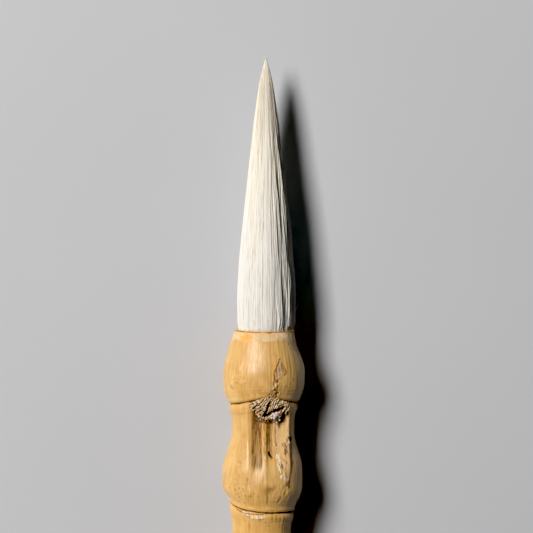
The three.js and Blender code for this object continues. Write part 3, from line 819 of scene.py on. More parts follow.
def mark_first_stretch(f):
    """The peeled lozenge, fissure and torn skin of the first belly, and its slimmer right shoulder."""
    right = bell(apart(f.degrees, 85), 42)
    f.relief -= 0.5 * right * bell(f.s - 3.0, 2.2)
    f.relief += 0.1 * right * bell(f.s - 8.0, 2.0)
    inside, outline = f.patch(LOZENGE, 0.06, 0.12, 2)
    wood = f.noise(230, 0.9, 319)
    f.relief += inside * (0.05 * wood - 0.12) + 0.05 * outline
    f.peel(0.8 * inside)
    f.redden(0.25 * inside)
    f.roughen(inside)
    left = 0.4 + 0.6 * ramp(f.x, 3.4, 2.6)
    f.darken(0.8 * outline * left * f.flecks(190, 0.5, 321, -0.7, 0.2))
    f.darken(0.5 * inside * ramp(wood, 0.1, 0.7))
    f.lighten(0.35 * inside * ramp(-wood, 0.2, 0.8))
    f.darken(0.7 * f.stroke([(3.25, 5.2), (2.75, 6.4), (2.25, 7.4), (2.05, 8.4), (2.4, 9.8)], 0.1, 0.7, 16))
    f.redden(0.9 * f.stroke([(4.5, 7.2), (4.6, 8.0), (4.1, 8.7), (3.5, 9.3)], 0.16, 0.7, 3))
    f.darken(0.55 * f.stroke([(4.45, 7.5), (4.55, 8.1), (4.2, 8.5)], 0.1, 0.6, 12))
    f.redden(0.6 * f.stroke([(2.7, 5.6), (2.3, 6.6), (1.8, 7.8), (1.7, 9.2)], 0.28, 0.8, 13))

    crumbly = [(1.9, 9.3), (3.0, 9.4), (3.2, 11.0), (3.5, 13.0), (0.6, 13.3), (1.0, 12.3), (2.0, 11.2)]
    crumbly = f.patch(crumbly, 0.25, 0.2, 4)[0]
    lumps = f.noise(200, 0.45, 324) + 0.7 * f.noise(120, 0.8, 325)
    f.relief += 0.17 * crumbly * lumps
    f.roughen(crumbly)
    # painted shade and light: the crumbly patch is darkened in its hollows and lightened on its lumps,
    # following the relief
    f.darken(0.55 * crumbly * ramp(-lumps, 0.35, 1.0))
    f.lighten(0.3 * crumbly * ramp(lumps, 0.4, 1.1))
    fissure = f.stroke([(2.15, 9.3), (2.0, 10.4), (2.35, 11.5)], 0.11, 0.6, 5)
    fissure = np.maximum(fissure, f.stroke([(2.35, 11.5), (1.5, 12.3), (0.6, 12.9)], 0.16, 0.7, 6))
    fissure = np.maximum(fissure, f.stroke([(2.9, 9.6), (2.8, 11.0), (3.1, 12.6)], 0.08, 0.6, 7) * 0.6)
    f.relief -= 0.15 * fissure
    f.darken(0.75 * fissure * f.flecks(160, 0.6, 322, -0.6, 0.3))
    f.darken(f.spot(2.4, 11.5, 0.2, 0.3))

    for k, line in enumerate(FLAKES):
        crack = f.stroke(line, 0.1, 0.8, 8 + k)
        # painted shadow: the line just below each flake is darkened and reddened as the shadow the flake
        # casts
        under = f.stroke([(x + 0.06, at + 0.2) for x, at in line], 0.12, 0.8, 14 + k)
        f.relief += 0.08 * crack - 0.07 * under
        f.lighten(0.28 * crack)
        f.darken(0.26 * under * f.flecks(120, 0.7, 326, -0.6, 0.4))
        f.redden(0.8 * under)
    for x, at in ((5.0, 1.9), (5.9, 9.2), (5.4, 9.9), (4.6, 10.6), (-6.7, 10.6)):
        f.darken(0.5 * f.stroke([(x, at), (x + 0.1, at + 0.7)], 0.08, 0.5, 10))
    f.redden(0.4 * f.spot(-5.2, 9.2, 1.4, 1.2) * f.flecks(90, 0.8, 327, -0.2, 0.6))
    streaks = f.flecks(210, 7, 328, 0.15, 0.8) * window(f.x, 0.8, 7.5, 0.8)
    streaks = streaks * window(f.at, 2.2, 11, 1.5) * f.top
    f.darken(0.36 * streaks)
    f.relief -= 0.03 * streaks
    pinkish = f.stroke([(-3.0, 13.0), (-1.4, 12.6), (0.2, 11.7), (1.2, 11.2)], 0.42, 0.5, 11)
    f.redden(0.4 * pinkish)
    f.lighten(0.55 * pinkish * f.flecks(150, 0.45, 329, -0.2, 0.5))
    f.relief += 0.05 * pinkish * f.noise(150, 0.45, 329)


def mark_second_stretch(f):
    """The nick in the middle flute, the peeled streaks, the dimple and the specks of the second belly."""
    nick = f.patch([(1.35, 24.3), (1.7, 24.3), (2.4, 25.5), (2.1, 25.7), (1.5, 25.1)], 0.1, 0.08, 20)[0]
    f.relief -= 0.35 * nick
    f.darken(nick)
    split = f.stroke([(1.45, 19.2), (1.35, 21.5), (1.6, 24.5)], 0.12, 0.7, 21)
    f.darken(0.95 * split * f.flecks(60, 1.0, 340, -0.7, 0.2))
    white = [(3.15, 24.7), (3.7, 24.9), (4.05, 27.2), (4.3, 29.6), (3.9, 29.8), (3.45, 27.6)]
    white = f.patch(white, 0.08, 0.16, 22)[0]
    other = [(4.25, 25.2), (4.65, 25.4), (4.9, 28.1), (4.75, 30.0), (4.3, 29.9), (4.35, 27.6)]
    other = f.patch(other, 0.08, 0.16, 33)[0]
    slanting = noise(f.turn - 0.0035 * f.at, f.at, 230, 1.3, 342)
    flaky = ramp(slanting + 0.5 * f.noise(240, 0.4, 341), -0.35, -0.05)
    white = np.maximum(white, 0.7 * other) * flaky
    dots = f.patch([(2.4, 22.6), (3.6, 22.6), (3.9, 24.3), (2.9, 24.3)], 0.2)[0]
    dots = dots * f.flecks(230, 0.45, 351, 0.35, 0.5)
    f.lighten(np.maximum(white, 0.8 * dots))
    f.relief += 0.1 * np.maximum(white, dots) * (1 + 0.5 * f.noise(220, 1.2, 343))
    crack = f.stroke([(3.95, 25.4), (4.1, 26.5), (4.2, 27.6)], 0.12, 0.8, 23)
    f.darken(0.85 * crack * f.flecks(230, 0.5, 352, -0.6, 0.1))
    stripe = [
        (4.5, 22.7), (5.3, 22.3), (5.75, 25.5), (5.65, 29.0),
        (5.35, 31.9), (5.0, 31.2), (4.85, 28.0), (4.8, 25.5),
    ]
    pink, edge = f.patch(stripe, 0.07, 0.16, 24)
    f.relief += pink * (0.03 + 0.16 * (f.x - 5.2) + 0.06 * f.noise(230, 1.6, 345))
    f.darken(0.6 * pink * f.flecks(235, 3.5, 355, 0.05, 0.5))
    f.peel(0.9 * pink)
    f.lighten(0.35 * pink * f.flecks(220, 2.4, 353, -0.5, 0.5))
    f.redden(0.4 * pink)
    f.roughen(np.maximum(pink, white))
    f.darken(0.7 * edge * f.flecks(190, 0.6, 344, -0.6, 0.3))
    f.lighten(0.6 * f.patch([(5.0, 29.7), (5.5, 29.6), (5.4, 31.0), (5.1, 31.1)], 0.1, 0.16, 25)[0])
    specks = f.flecks(210, 0.8, 354, -0.2, 0.5)
    f.lighten(0.4 * specks * f.stroke([(0.2, 23.5), (0.35, 27.0), (0.5, 30.5)], 0.22, 0.6, 26))
    # painted highlight: a pale line along the left rim of the channel
    f.lighten(0.4 * f.stroke([(-3.0, 22.6), (-3.2, 25.0), (-3.15, 28.0)], 0.1, 0.5, 28))
    f.redden(0.7 * f.spot(6.2, 26.6, 0.35, 0.5))
    f.darken(0.4 * f.spot(6.2, 26.6, 0.2, 0.3))

    dimple = f.spot(1.4, 32.3, 1.1, 0.9)
    f.relief -= 0.3 * dimple
    # painted shade: the dimple and the crease below it are darkened as the shade in them
    f.darken(0.3 * dimple + 0.25 * f.spot(1.9, 31.7, 0.6, 0.35))
    crease = f.stroke([(1.2, 32.6), (1.15, 34.0), (1.2, 35.0)], 0.16, 0.4, 29)
    f.relief -= 0.12 * crease
    f.darken(0.4 * crease)
    f.relief -= 0.12 * f.stroke([(-1.6, 31.8), (-2.0, 33.6)], 0.6)
    f.redden(0.5 * f.stroke([(5.5, 30.5), (5.2, 32.5), (4.7, 34.0)], 0.3, 0.5, 30))
    wrinkled = f.patch([(2.4, 31.0), (5.6, 30.6), (5.9, 34.0), (3.0, 35.2), (2.0, 33.0)], 0.7)[0]
    creases = noise(f.turn + 0.006 * f.at, f.at, 130, 1.3, 346) + 0.5 * f.noise(210, 0.6, 347)
    f.relief += 0.07 * wrinkled * creases
    # painted shade: darkened in the hollows of the creases, following the relief
    f.darken(0.25 * wrinkled * ramp(-creases, 0.3, 1.0))
    torn = f.patch([(4.9, 21.2), (5.6, 20.8), (5.75, 22.2), (5.2, 22.9), (4.6, 23.1)], 0.08, 0.2, 31)[0]
    chips = f.noise(230, 0.4, 348)
    f.relief += torn * (0.06 + 0.2 * chips)
    # painted shade and light: darker where the chips sink and paler where they stand up, following the relief
    f.darken(0.9 * torn * ramp(-chips, -0.1, 0.4))
    f.lighten(0.7 * torn * ramp(chips, 0.2, 0.6))
    f.roughen(torn)
    rng = np.random.default_rng(350)
    for _ in range(46):
        x, at = rng.normal(-4.3, 1.5), rng.normal(31.4, 1.9)
        f.darken(rng.uniform(0.25, 0.7) * f.spot(x, at, rng.uniform(0.07, 0.13), rng.uniform(0.08, 0.24)))
    f.darken(0.55 * f.spot(-4.6, 26.4, 0.1, 0.2))


def mark_second_knot(f):
    """The doubled line of the second knot, with a torn white flake and white flecks along its ring."""
    run = f.s - knots[1]["at"]
    heavy = f.stroke([(0.8, 0.34), (2.4, 0.3), (4.6, 0.3), (6.4, 0.36)], 0.17, 0.3, 40, run)
    f.darken(heavy * f.flecks(40, 2, 365, -1.0, 0.0))
    f.relief -= 0.2 * heavy
    lower = f.stroke([(-5.0, 0.7), (-3.6, 0.85), (-2.2, 0.85), (0.4, 0.6)], 0.09, 0.6, 41, run)
    f.darken(0.6 * lower)
    f.relief -= 0.08 * lower
    f.redden(0.7 * f.stroke([(-5.4, 0.45), (-3.4, 0.58), (-1.0, 0.55), (0.6, 0.45)], 0.13, 0.3, 42, run))
    f.redden(0.5 * f.stroke([(-5.8, -0.25), (-2.0, -0.2), (2.0, -0.2), (6.0, -0.2)], 0.2, 0.5, 43, run))
    f.darken(0.35 * f.stroke([(1.0, -0.35), (3.5, -0.4), (6.0, -0.3)], 0.08, 0.8, 45, run))
    flake = [(-4.1, 0.45), (-3.2, 0.5), (-2.4, 1.0), (-2.6, 1.5), (-3.6, 1.25)]
    flake = f.patch(flake, 0.05, 0.1, 44, run)[0]
    flecks = f.stroke([(-2.5, 1.35), (-1.0, 1.4), (0.6, 1.3)], 0.34, 0.3, 46, run)
    flecks = ramp(flecks * f.flecks(230, 1.2, 360, -0.3, 0.0), 0.3, 0.5)
    f.darken(0.4 * f.stroke([(-3.9, 0.75), (-3.2, 1.2), (-2.4, 1.5)], 0.1, 0.5, 47, run))
    f.lighten(flake)
    f.lighten(flecks)
    f.relief += 0.16 * flake + 0.1 * flecks
    f.roughen(np.maximum(flake, flecks))
    specks = [(2.1, 38.0, 0.5), (2.9, 38.1, 0.6), (3.7, 38.2, 0.45), (4.5, 38.0, 0.5), (-0.3, 38.1, 0.3)]
    for x, at, size in specks:
        f.darken(0.5 * f.spot(x, at, 0.17, size))
    streaks = f.flecks(200, 8, 362, 0.0, 0.7) * window(f.x, 1.4, 6.5, 0.4)
    streaks = streaks * window(f.at, 38.0, 44, 0.5) * f.top
    f.darken(0.42 * streaks)


def mark_at_random(f, start, end, seed):
    """Peeled spindles, stains and specks on the parts of the stem that nobody has described."""
    rng = np.random.default_rng(seed)
    for k in range(int((end - start) / 5)):
        degrees, at = rng.uniform(0, 360), rng.uniform(start, end)
        if abs(apart(degrees, 0)) < SEEN_SIDE and at < SPINDLES_FROM:
            continue
        long, wide = rng.uniform(0.8, 3.2), rng.uniform(3, 8)
        across = apart(f.degrees, degrees) / wide + 0.5 * f.noise(60, 1.2, seed + 5 + k)
        depth = 1 - np.abs(across) - np.abs((f.at - at) / long)
        inside = ramp(depth, 0.0, 0.12)
        f.darken(0.45 * bell(depth, 0.1))
        if rng.random() < 0.6:
            f.peel(inside * 0.8)
            f.relief -= 0.06 * inside
            f.roughen(inside)
        else:
            f.redden(0.5 * inside)
    for _ in range(int((end - start) * 1.6)):
        degrees, at = rng.uniform(0, 360), rng.uniform(start, end)
        if abs(apart(degrees, 0)) < SEEN_SIDE and at < SPECKS_FROM:
            continue
        across = np.radians(apart(f.degrees, degrees)) * 7 / 0.13
        away = np.hypot(across, (f.at - at) / rng.uniform(0.12, 0.7))
        f.darken(rng.uniform(0.2, 0.6) * np.exp(-(away**2)))


def mark(f, start, end):
    """Everything that has grown or happened on a stretch of the stem."""
    f.relief += 0.03 * f.noise(7, 9, 400) + 0.025 * f.noise(15, 5, 401)
    f.redden(0.2 * ramp(f.at, 31, 38) * (0.8 + 0.3 * f.noise(9, 12, 404)))
    f.relief += 0.02 * f.noise(60, 14, 402) + 0.014 * f.noise(130, 10, 403)
    for i, knot in enumerate(knots):
        if start - 8 < knot["at"] < end + 1 or start < knot["at"] + 20 < end:
            mark_knot(f, i, knot)
        if start - 36 < knot["at"] < end:
            mark_groove(f, i, knot)
            mark_scar(f, i, knot)
    if start == 0:
        mark_mouth(f)
        mark_first_stretch(f)
        mark_second_stretch(f)
        mark_second_knot(f)
    mark_at_random(f, start, end, 500 + int(start))


def lined_ring(radius, y, x=0.0, z=0.0):
    """A plain ring of points inside the stem."""
    turn = np.arange(STEM_SIDES) / STEM_SIDES
    angle = np.radians(360 * turn - FRONT_CROWDING * np.sin(2 * math.pi * turn))
    return around_y(radius, angle, np.full(STEM_SIDES, y), x, z)


def make_stem_piece(name, start, end):
    """One length of the stem: its outside, and a wall, a socket or a bore at each end."""
    f = Surface(start, end)
    mark(f, start, end)
    outside = f.points()
    first, last = outside[0], outside[-1]
    if start == 0:
        wall = [(SOCKET_RADIUS, y) for y in (-SOCKET_DEPTH, -3, -0.12)]
        socket = [(0.02, -SOCKET_DEPTH), *wall, (SOCKET_RADIUS + 0.1, 0.0)]
        before = [lined_ring(*ring) for ring in socket]
    else:
        middle = first.mean(0)
        before = [middle + (first - middle) * share for share in (0.003, 0.4, 0.8)]
    if end == STEM_LENGTH:
        x, z = knots[-1]["x"], knots[-1]["z"]
        bore = [(TAIL_RADIUS - 0.15, -end), (TENON_BORE, -end), (TENON_BORE, -end + TENON_BORE_DEPTH)]
        after = [lined_ring(*ring, x, z) for ring in bore + [(0.02, -end + TENON_BORE_DEPTH)]]
    else:
        middle = last.mean(0)
        after = [middle + (last - middle) * share for share in (0.8, 0.4, 0.003)]
    rings = np.concatenate([np.stack(before), outside, np.stack(after)])
    count, sides = rings.shape[:2]
    ends = [list(range(sides)), list(range(count * sides - 1, (count - 1) * sides - 1, -1))]
    faces = [*grid_faces(count, sides), *ends]

    def spread(values, inner):
        """The outside's values, with one value for the points inside the stem."""
        values = np.asarray(values)
        fill = lambda rows: np.broadcast_to(inner, (rows, *values.shape[1:]))
        filled = np.concatenate([fill(len(before)), values, fill(len(after))])
        return filled.reshape(count * sides, *values.shape[2:])

    marks = np.clip(np.stack([f.dark, f.pale, f.orange], -1), 0, 1)
    worn = np.clip(np.stack([f.peeled, f.rough, f.relief], -1), -1, 1)
    attributes = dict(grain=spread(f.grain(), 0.0), marks=spread(marks, 0.3), wear=spread(worn, 0.4))
    return new_piece(name, rings.reshape(-1, 3), faces, BAMBOO, "handle", "bamboo", **attributes)


def make_stem():
    cuts = [0, knots[2]["at"] + KNOT_NOTCH_AT, knots[4]["at"] + KNOT_NOTCH_AT, STEM_LENGTH]
    names = ["bamboo_stem_mouth", "bamboo_stem_middle", "bamboo_stem_tail"]
    pieces = [make_stem_piece(name, *span) for name, span in zip(names, zip(cuts, cuts[1:]))]
    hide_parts("bamboo_stem")


# ---------------------------------------------------------------- fibres and crumbs


def tubes(name, paths, radii, sides, material, body, slot, **attributes):
    """One mesh of many thin closed tubes. paths is tubes by points by 3, and radii is tubes by points."""
    count, steps = radii.shape
    along = np.gradient(paths, axis=1)
    along /= np.linalg.norm(along, axis=2, keepdims=True) + 1e-9
    out = paths * [1, 0, 1] + [1e-4, 0, 0]
    out -= (out * along).sum(2, keepdims=True) * along
    out /= np.linalg.norm(out, axis=2, keepdims=True) + 1e-9
    side = np.cross(along, out)
    turn = 2 * math.pi * np.arange(sides) / sides
    around = out[:, :, None] * np.cos(turn)[:, None] + side[:, :, None] * np.sin(turn)[:, None]
    points = paths[:, :, None] + radii[:, :, None, None] * around
    offsets = (np.arange(count) * steps * sides)[:, None, None]
    faces = (grid_faces(steps, sides)[:, ::-1][None] + offsets).reshape(-1, 4).tolist()
    ends = np.stack([np.arange(sides)[::-1], (steps - 1) * sides + np.arange(sides)])
    faces += (ends[None] + offsets).reshape(-1, sides).tolist()
    for key, value in attributes.items():
        attributes[key] = np.repeat(np.broadcast_to(value, (count, steps)), sides, 1).ravel()
    return new_piece(name, points.reshape(-1, 3), faces, material, body, slot, **attributes)


def on_scar(knot, i, u, v, lift):
    """A point over a branch's scar, by the scar's own two distances."""
    side, size = side_and_size(i, knot)
    u, v, lift = np.broadcast_arrays(u, v, lift)
    degrees = knot["branch"] + side * np.degrees(u * size / knot["lip"])
    at = knot["at"] - KNOT_ARCH + v * size
    s = at + pull(at + KNOT_ARCH * 0.8, degrees)
    radius = plain_radius(s.ravel()).reshape(s.shape) + lift * size
    return around_y(radius, np.radians(degrees), -at, wander("x", s), wander("z", s))


def make_fibres(i, knot):
    """The torn fibres of a broken branch: combed ridges of splinters with dark gaps between them."""
    rng = np.random.default_rng(700 + i)
    tries = 6500 if i == 0 else 1800
    u, v = rng.uniform(-3.7, 5.1, tries), rng.uniform(0.1, 4.6, tries)
    lean = lean_of(u, v)
    ridge_step, break_step, reach = 0.44, 1.05, 0.35
    comb = u * np.cos(lean) + v * np.sin(lean)
    along = v * np.cos(lean) - u * np.sin(lean)
    phase = 2 * math.pi * comb / ridge_step + 1.8 * np.sin(1.3 * u - 0.9 * v) + 1.2 * np.sin(2.9 * v)
    row = np.floor(phase / (2 * math.pi) + 0.25)
    broken = 0.5 + 0.5 * np.sin(2 * math.pi * along / break_step + 2.1 * row)
    ridge = (0.5 + 0.5 * np.sin(phase)) * (0.6 + 0.4 * broken)
    clear = to_crevice(u, v)
    bare = np.hypot(u - HEAP[0], v - HEAP[1]) < HEAP[2] * (i == 0)
    ends = [to_crevice(u + r * np.sin(lean), v - r * np.cos(lean)) for r in (-reach, reach)]
    keep = (depth_inside(u, v, SCAR) > 0.05) & (np.minimum(clear, np.minimum(*ends)) > 0.0) & ~bare
    keep &= ridge > rng.uniform(0.12, 0.65, tries)
    u, v, ridge, clear, lean = (values[keep][:, None] for values in (u, v, ridge, clear, lean))
    count, steps = len(u), 6
    lean = lean + rng.normal(0, 0.09, (count, 1))
    length = rng.uniform(0.25, 0.65, (count, 1))
    t = np.linspace(0, 1, steps)
    bend = rng.normal(0, 0.16, (count, 1)) * t * t
    du, dv = -np.sin(lean), np.cos(lean)
    path_u = u + length * (du * (t - 0.5) + dv * bend)
    path_v = v + length * (dv * (t - 0.5) - du * bend)
    inside = np.minimum(depth_inside(path_u, path_v, SCAR), to_crevice(path_u, path_v) + 0.15)
    base = 0.05 + 0.34 * ridge + 0.08 * rng.normal(0, 1, (count, 1))
    lift = base + rng.uniform(-0.05, 0.16, (count, 1)) * t * t - 0.35 * ramp(-inside, 0, 0.3)
    thick = rng.uniform(0.035, 0.075, (count, 1))
    radii = thick * (np.minimum(1, 4 * t + 0.4) * np.minimum(1, 4.4 - 4.2 * t) + 0.05)
    # painted light and shade: fibres on the combs' ridges are pale and those in the gaps between them dark,
    # besides a random tone of their own
    tone = np.clip(1.5 * ridge - 0.2 + 0.36 * rng.normal(0, 1, (count, 1)), 0, 1)
    paths = on_scar(knot, i, path_u, path_v, lift)
    tubes(f"branch_fibres_{i + 1}", paths, radii, 5, FIBRE, "handle", "bamboo", tone=tone)


def lean_of(u, v):
    """Which way a scar's fibres run at each place, in radians from straight along the stem."""
    lean = np.radians(np.interp(u, [-4, -0.6, 0.2, 1.2, 3, 5], [56, 46, 22, 42, 44, 18]))
    return lean + 0.22 * np.sin(1.9 * u + 1.1 * v)


def make_curled_flakes():
    """Curls of rust-coloured skin and of straw that stand up in the first scar."""
    bends = [
        ([(2.95, 2.5), (2.6, 2.85), (2.5, 3.3), (2.75, 3.7), (3.1, 3.8)], 0.12, 0.42, RUST),
        ([(1.75, 3.5), (1.65, 3.75), (1.8, 4.0)], 0.12, 0.5, RUST),
        ([(-2.3, 2.6), (-2.0, 2.9), (-2.05, 3.2)], 0.09, 0.3, RUST),
        ([(-3.65, 1.9), (-3.4, 2.35), (-2.95, 2.4), (-2.6, 2.0)], 0.09, 0.3, STRAW),
        ([(0.8, 0.8), (0.55, 1.6), (0.3, 2.4), (0.0, 3.2)], 0.08, 0.42, STRAW),
        ([(-1.6, 3.1), (-1.2, 3.5), (-1.3, 4.0)], 0.1, 0.3, STRAW),
        ([(0.4, 4.2), (0.9, 3.85), (1.2, 4.2)], 0.08, 0.2, STRAW),
    ]
    for k, (line, thick, lift, material) in enumerate(bends):
        u, v = np.array(line).T
        t = np.linspace(0, 1, 12)
        places = np.linspace(0, 1, len(u))
        path = on_scar(knots[0], 0, flowing(list(zip(places, u)), t), flowing(list(zip(places, v)), t), lift)
        radii = thick * (0.35 + 0.65 * np.sin(math.pi * t)) * (1 + 0.15 * np.sin(17 * t))
        tubes(f"curled_flake_{k + 1}", path[None], radii[None], 8, material, "handle", "bamboo")


def make_crumbs(name, material, heaps, size, seed):
    """Small broken lumps. A heap is (u, v, lift, how many, spread) in a scar's terms, then the scar's knot,
    which is the first one if none is given."""
    rng = np.random.default_rng(seed)
    points, faces = [], []
    ball, triangles = lumpy_ball()
    for u, v, lift, count, spread, *later in heaps:
        i = later[0] if later else 0
        for _ in range(count):
            height = lift + rng.uniform(0, 0.15)
            here = on_scar(knots[i], i, u + rng.normal(0, spread), v + rng.normal(0, spread * 0.7), height)
            shape = ball * rng.uniform(0.6, 1.3, 3) * (1 + 0.22 * rng.normal(0, 1, (len(ball), 1)))
            turn = np.linalg.qr(rng.normal(0, 1, (3, 3)))[0]
            if np.linalg.det(turn) < 0:
                turn[:, 0] *= -1
            faces += (np.array(triangles) + len(points) * len(ball)).tolist()
            points.append(here + size * rng.uniform(0.45, 1.1) * shape @ turn.T)
    new_piece(name, np.concatenate(points), faces, material, "handle", "bamboo", smooth=False)


def lumpy_ball():
    """The points and triangles of an icosahedron with each face cut in four."""
    gold = (1 + 5**0.5) / 2
    corners = [np.roll((0, a, b * gold), k) for k in range(3) for a in (-1, 1) for b in (-1, 1)]
    corners = [corner / math.hypot(1, gold) for corner in corners]
    triangles = []
    for a in range(12):
        for b in range(a + 1, 12):
            for c in range(b + 1, 12):
                sides = [np.linalg.norm(corners[p] - corners[q]) for p, q in ((a, b), (b, c), (a, c))]
                if max(sides) < 1.1:
                    out = np.dot(np.cross(corners[b] - corners[a], corners[c] - corners[a]), corners[a]) > 0
                    triangles.append((a, b, c) if out else (a, c, b))
    middles = {}

    def middle(a, b):
        key = (min(a, b), max(a, b))
        if key not in middles:
            point = corners[a] + corners[b]
            corners.append(point / np.linalg.norm(point))
            middles[key] = len(corners) - 1
        return middles[key]

    cut = []
    for a, b, c in triangles:
        ab, bc, ca = middle(a, b), middle(b, c), middle(c, a)
        cut += [(a, ab, ca), (b, bc, ab), (c, ca, bc), (ab, bc, ca)]
    return np.array(corners), cut


def make_debris():
    lumps = [(1.5, 3.2, 0.25, 2, 0.12), (2.3, 3.3, 0.2, 3, 0.16)]
    lumps += [(1.9, 3.8, 0.15, 3, 0.16), (1.3, 3.9, 0.1, 2, 0.1)]
    make_crumbs("chalky_lumps", CHALK, lumps, 0.5, 801)
    chalk = [(1.6, 4.5, 0.0, 4, 0.2), (2.7, 4.4, 0.0, 4, 0.25)]
    chalk += [(2.0, 5.1, -0.1, 3, 0.3), (-1.5, 3.8, 0.1, 2, 0.2)]
    make_crumbs("chalky_crumbs", CHALK, chalk, 0.22, 804)
    pink = [(-2.0, 3.4, 0.15, 3, 0.15), (-0.9, 3.1, 0.2, 2, 0.12), (-0.7, 4.0, 0.1, 3, 0.2)]
    pink += [(2.6, 2.9, 0.4, 2, 0.1), (-1.3, 4.5, 0.0, 2, 0.2), (0.3, 4.6, -0.1, 2, 0.2)]
    make_crumbs("skin_crumbs", SKIN, pink, 0.19, 802)
    straw = [(1.4, -1.2, -0.1, 8, 0.25), (0.7, -0.7, -0.1, 8, 0.3)]
    straw += [(0.0, -0.3, -0.08, 8, 0.3), (-0.8, 0.0, -0.05, 4, 0.25)]
    make_crumbs("straw_crumbs", STRAW, straw, 0.16, 805)
    dark = [(-0.4, 4.7, 0.0, 9, 0.5), (-1.8, 4.3, 0.0, 6, 0.3), (1.9, 5.0, -0.1, 5, 0.3)]
    dark += [(3.6, 3.0, 0.1, 3, 0.3), (1.1, -0.9, -0.08, 6, 0.3), (0.2, -0.35, -0.06, 5, 0.3)]
    dark += [(4.2, 1.2, 0.0, 4, 0.4)]
    dark += [(0.0, 4.6, 0.0, 8, 0.9, i) for i in range(1, len(knots))]
    make_crumbs("bark_crumbs", BARK, dark, 0.16, 803)


# ---------------------------------------------------------------- the hair


def tuft_radius(h):
    """The tuft's radius by the height above the mouth."""
    free = flowing(TUFT_FREE + [(TUFT_LENGTH, 0)], h)
    return np.where(h < TUFT_FREE[0][0], through(TUFT_SOCKETED, np.minimum(h, 2.2)), np.maximum(free, 0))


def make_tuft_body(name, inset, end, material, slot, nodes, seed):
    """A closed body of hair with fine ridges along it, which lies under the single hairs."""
    sides, rings = 220, 150
    h = ROOT_END + (end - ROOT_END) * np.linspace(0, 1, rings) ** 0.9
    h, turn = np.meshgrid(h, np.arange(sides) / sides, indexing="ij")
    plain = np.maximum(tuft_radius(h) - inset * np.minimum(1, tuft_radius(h) / 2.5), 0)
    ridges = noise(turn, h, 70, 30, seed) + 0.7 * noise(turn + 0.004 * h, h, 110, 16, seed + 1)
    radius = plain + 0.05 * ridges * np.minimum(1, plain / 3)
    radius[0] = radius[-1] = 0.003
    points = around_y(radius, 2 * math.pi * turn, h).reshape(-1, 3)
    tone = 0.5 + 0.3 * noise(turn, h, 120, 40, seed + 2)
    look = dict(tone=tone.ravel(), height=(h / TUFT_LENGTH).ravel())
    piece = new_piece(name, points, closed_faces(rings, sides), material, slot=slot, **look)
    bend(piece)
    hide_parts(*nodes)


def bend(piece):
    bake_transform(piece)


def looseness(home):
    """How loose the hair is round the tuft: smooth on the left, and in loose locks on the right."""
    return window((home + 0.5) % 1 - 0.5, 0.06, 0.24, 0.05)


def lock_paths(rng, lock, h):
    """The middle of each hair's lock: its turn round the tuft and how far it stands out, at each height."""
    home = (np.arange(LOCKS) + rng.uniform(-0.35, 0.35, LOCKS)) / LOCKS
    loose = looseness(home)
    phase = rng.uniform(0, 2 * math.pi, (3, LOCKS))
    waves = [(9.0, 0.35), (17.0, 0.6), (31.0, 0.8)]
    sway = sum(size * np.sin(2 * math.pi * h / wave + phase[k][lock]) for k, (wave, size) in enumerate(waves))
    shift = 0.0045 * sway * (0.06 + 0.94 * loose)[lock]
    stand = (0.01 + 0.13 * loose)[lock] * np.sin(2 * math.pi * h / 23 + phase[1][lock] * 2)
    stand += (0.015 + 0.12 * loose)[lock] * np.cos(phase[0][lock])
    return home[lock] + shift, stand


def make_hairs(name, count, seed, depth, thick, reach):
    """Single hairs over the tuft, in locks. They thin out, end at different heights and close on the tip."""
    rng = np.random.default_rng(seed)
    steps = 30
    lock = rng.integers(0, LOCKS, (count, 1))
    end = TUFT_LENGTH * (1 - reach * rng.beta(1.1, 1.6, (count, 1)) ** 1.3)
    start = rng.uniform(-2.2, -1.2, (count, 1))
    t = np.linspace(0, 1, steps)[None] ** 1.35
    h = start + (end - start) * t
    locks = np.random.default_rng(77)
    home, stand = lock_paths(locks, lock, h)
    right = looseness(home)
    spread = rng.normal(0, 0.33, (count, 1)) / LOCKS
    wave = 0.5 + 0.5 * np.sin(h / 3.1 + 9 * home)
    pinch = 1 - (0.5 * right + 0.1) * bell(h - 0.5, 2.5) - 0.35 * right * wave
    own = rng.uniform(0, 2 * math.pi, (count, 1))
    curl = (0.0008 + 0.0022 * right) * np.sin(2 * math.pi * h / rng.uniform(7, 20, (count, 1)) + own)
    turn = home + spread * pinch * 1.6 + curl
    radius = tuft_radius(h)
    fill = np.minimum(1, radius / 3)
    below = rng.uniform(*depth, (count, 1)) * (0.45 + 0.55 * right)
    out = radius - below * fill + (stand + 0.03 * np.sin(h / 2.7 + own)) * fill
    out = np.where(h < 1.2, np.minimum(out, radius - 0.02), out)
    out = np.maximum(out, 0.012)
    paths = around_y(out, 2 * math.pi * turn, h)
    taper = np.minimum(1, (1 - t) * 5) ** 0.7 * (1 - 0.45 * ramp(h / TUFT_LENGTH, 0.35, 1.0))
    radii = thick * rng.uniform(0.7, 1.25, (count, 1)) * np.maximum(taper, 0.06)
    tone = rng.uniform(0, 1, (count, 1))
    bend(tubes(name, paths, radii, 3, COVER_HAIR, None, "cover_hair", tone=tone, height=h / TUFT_LENGTH))


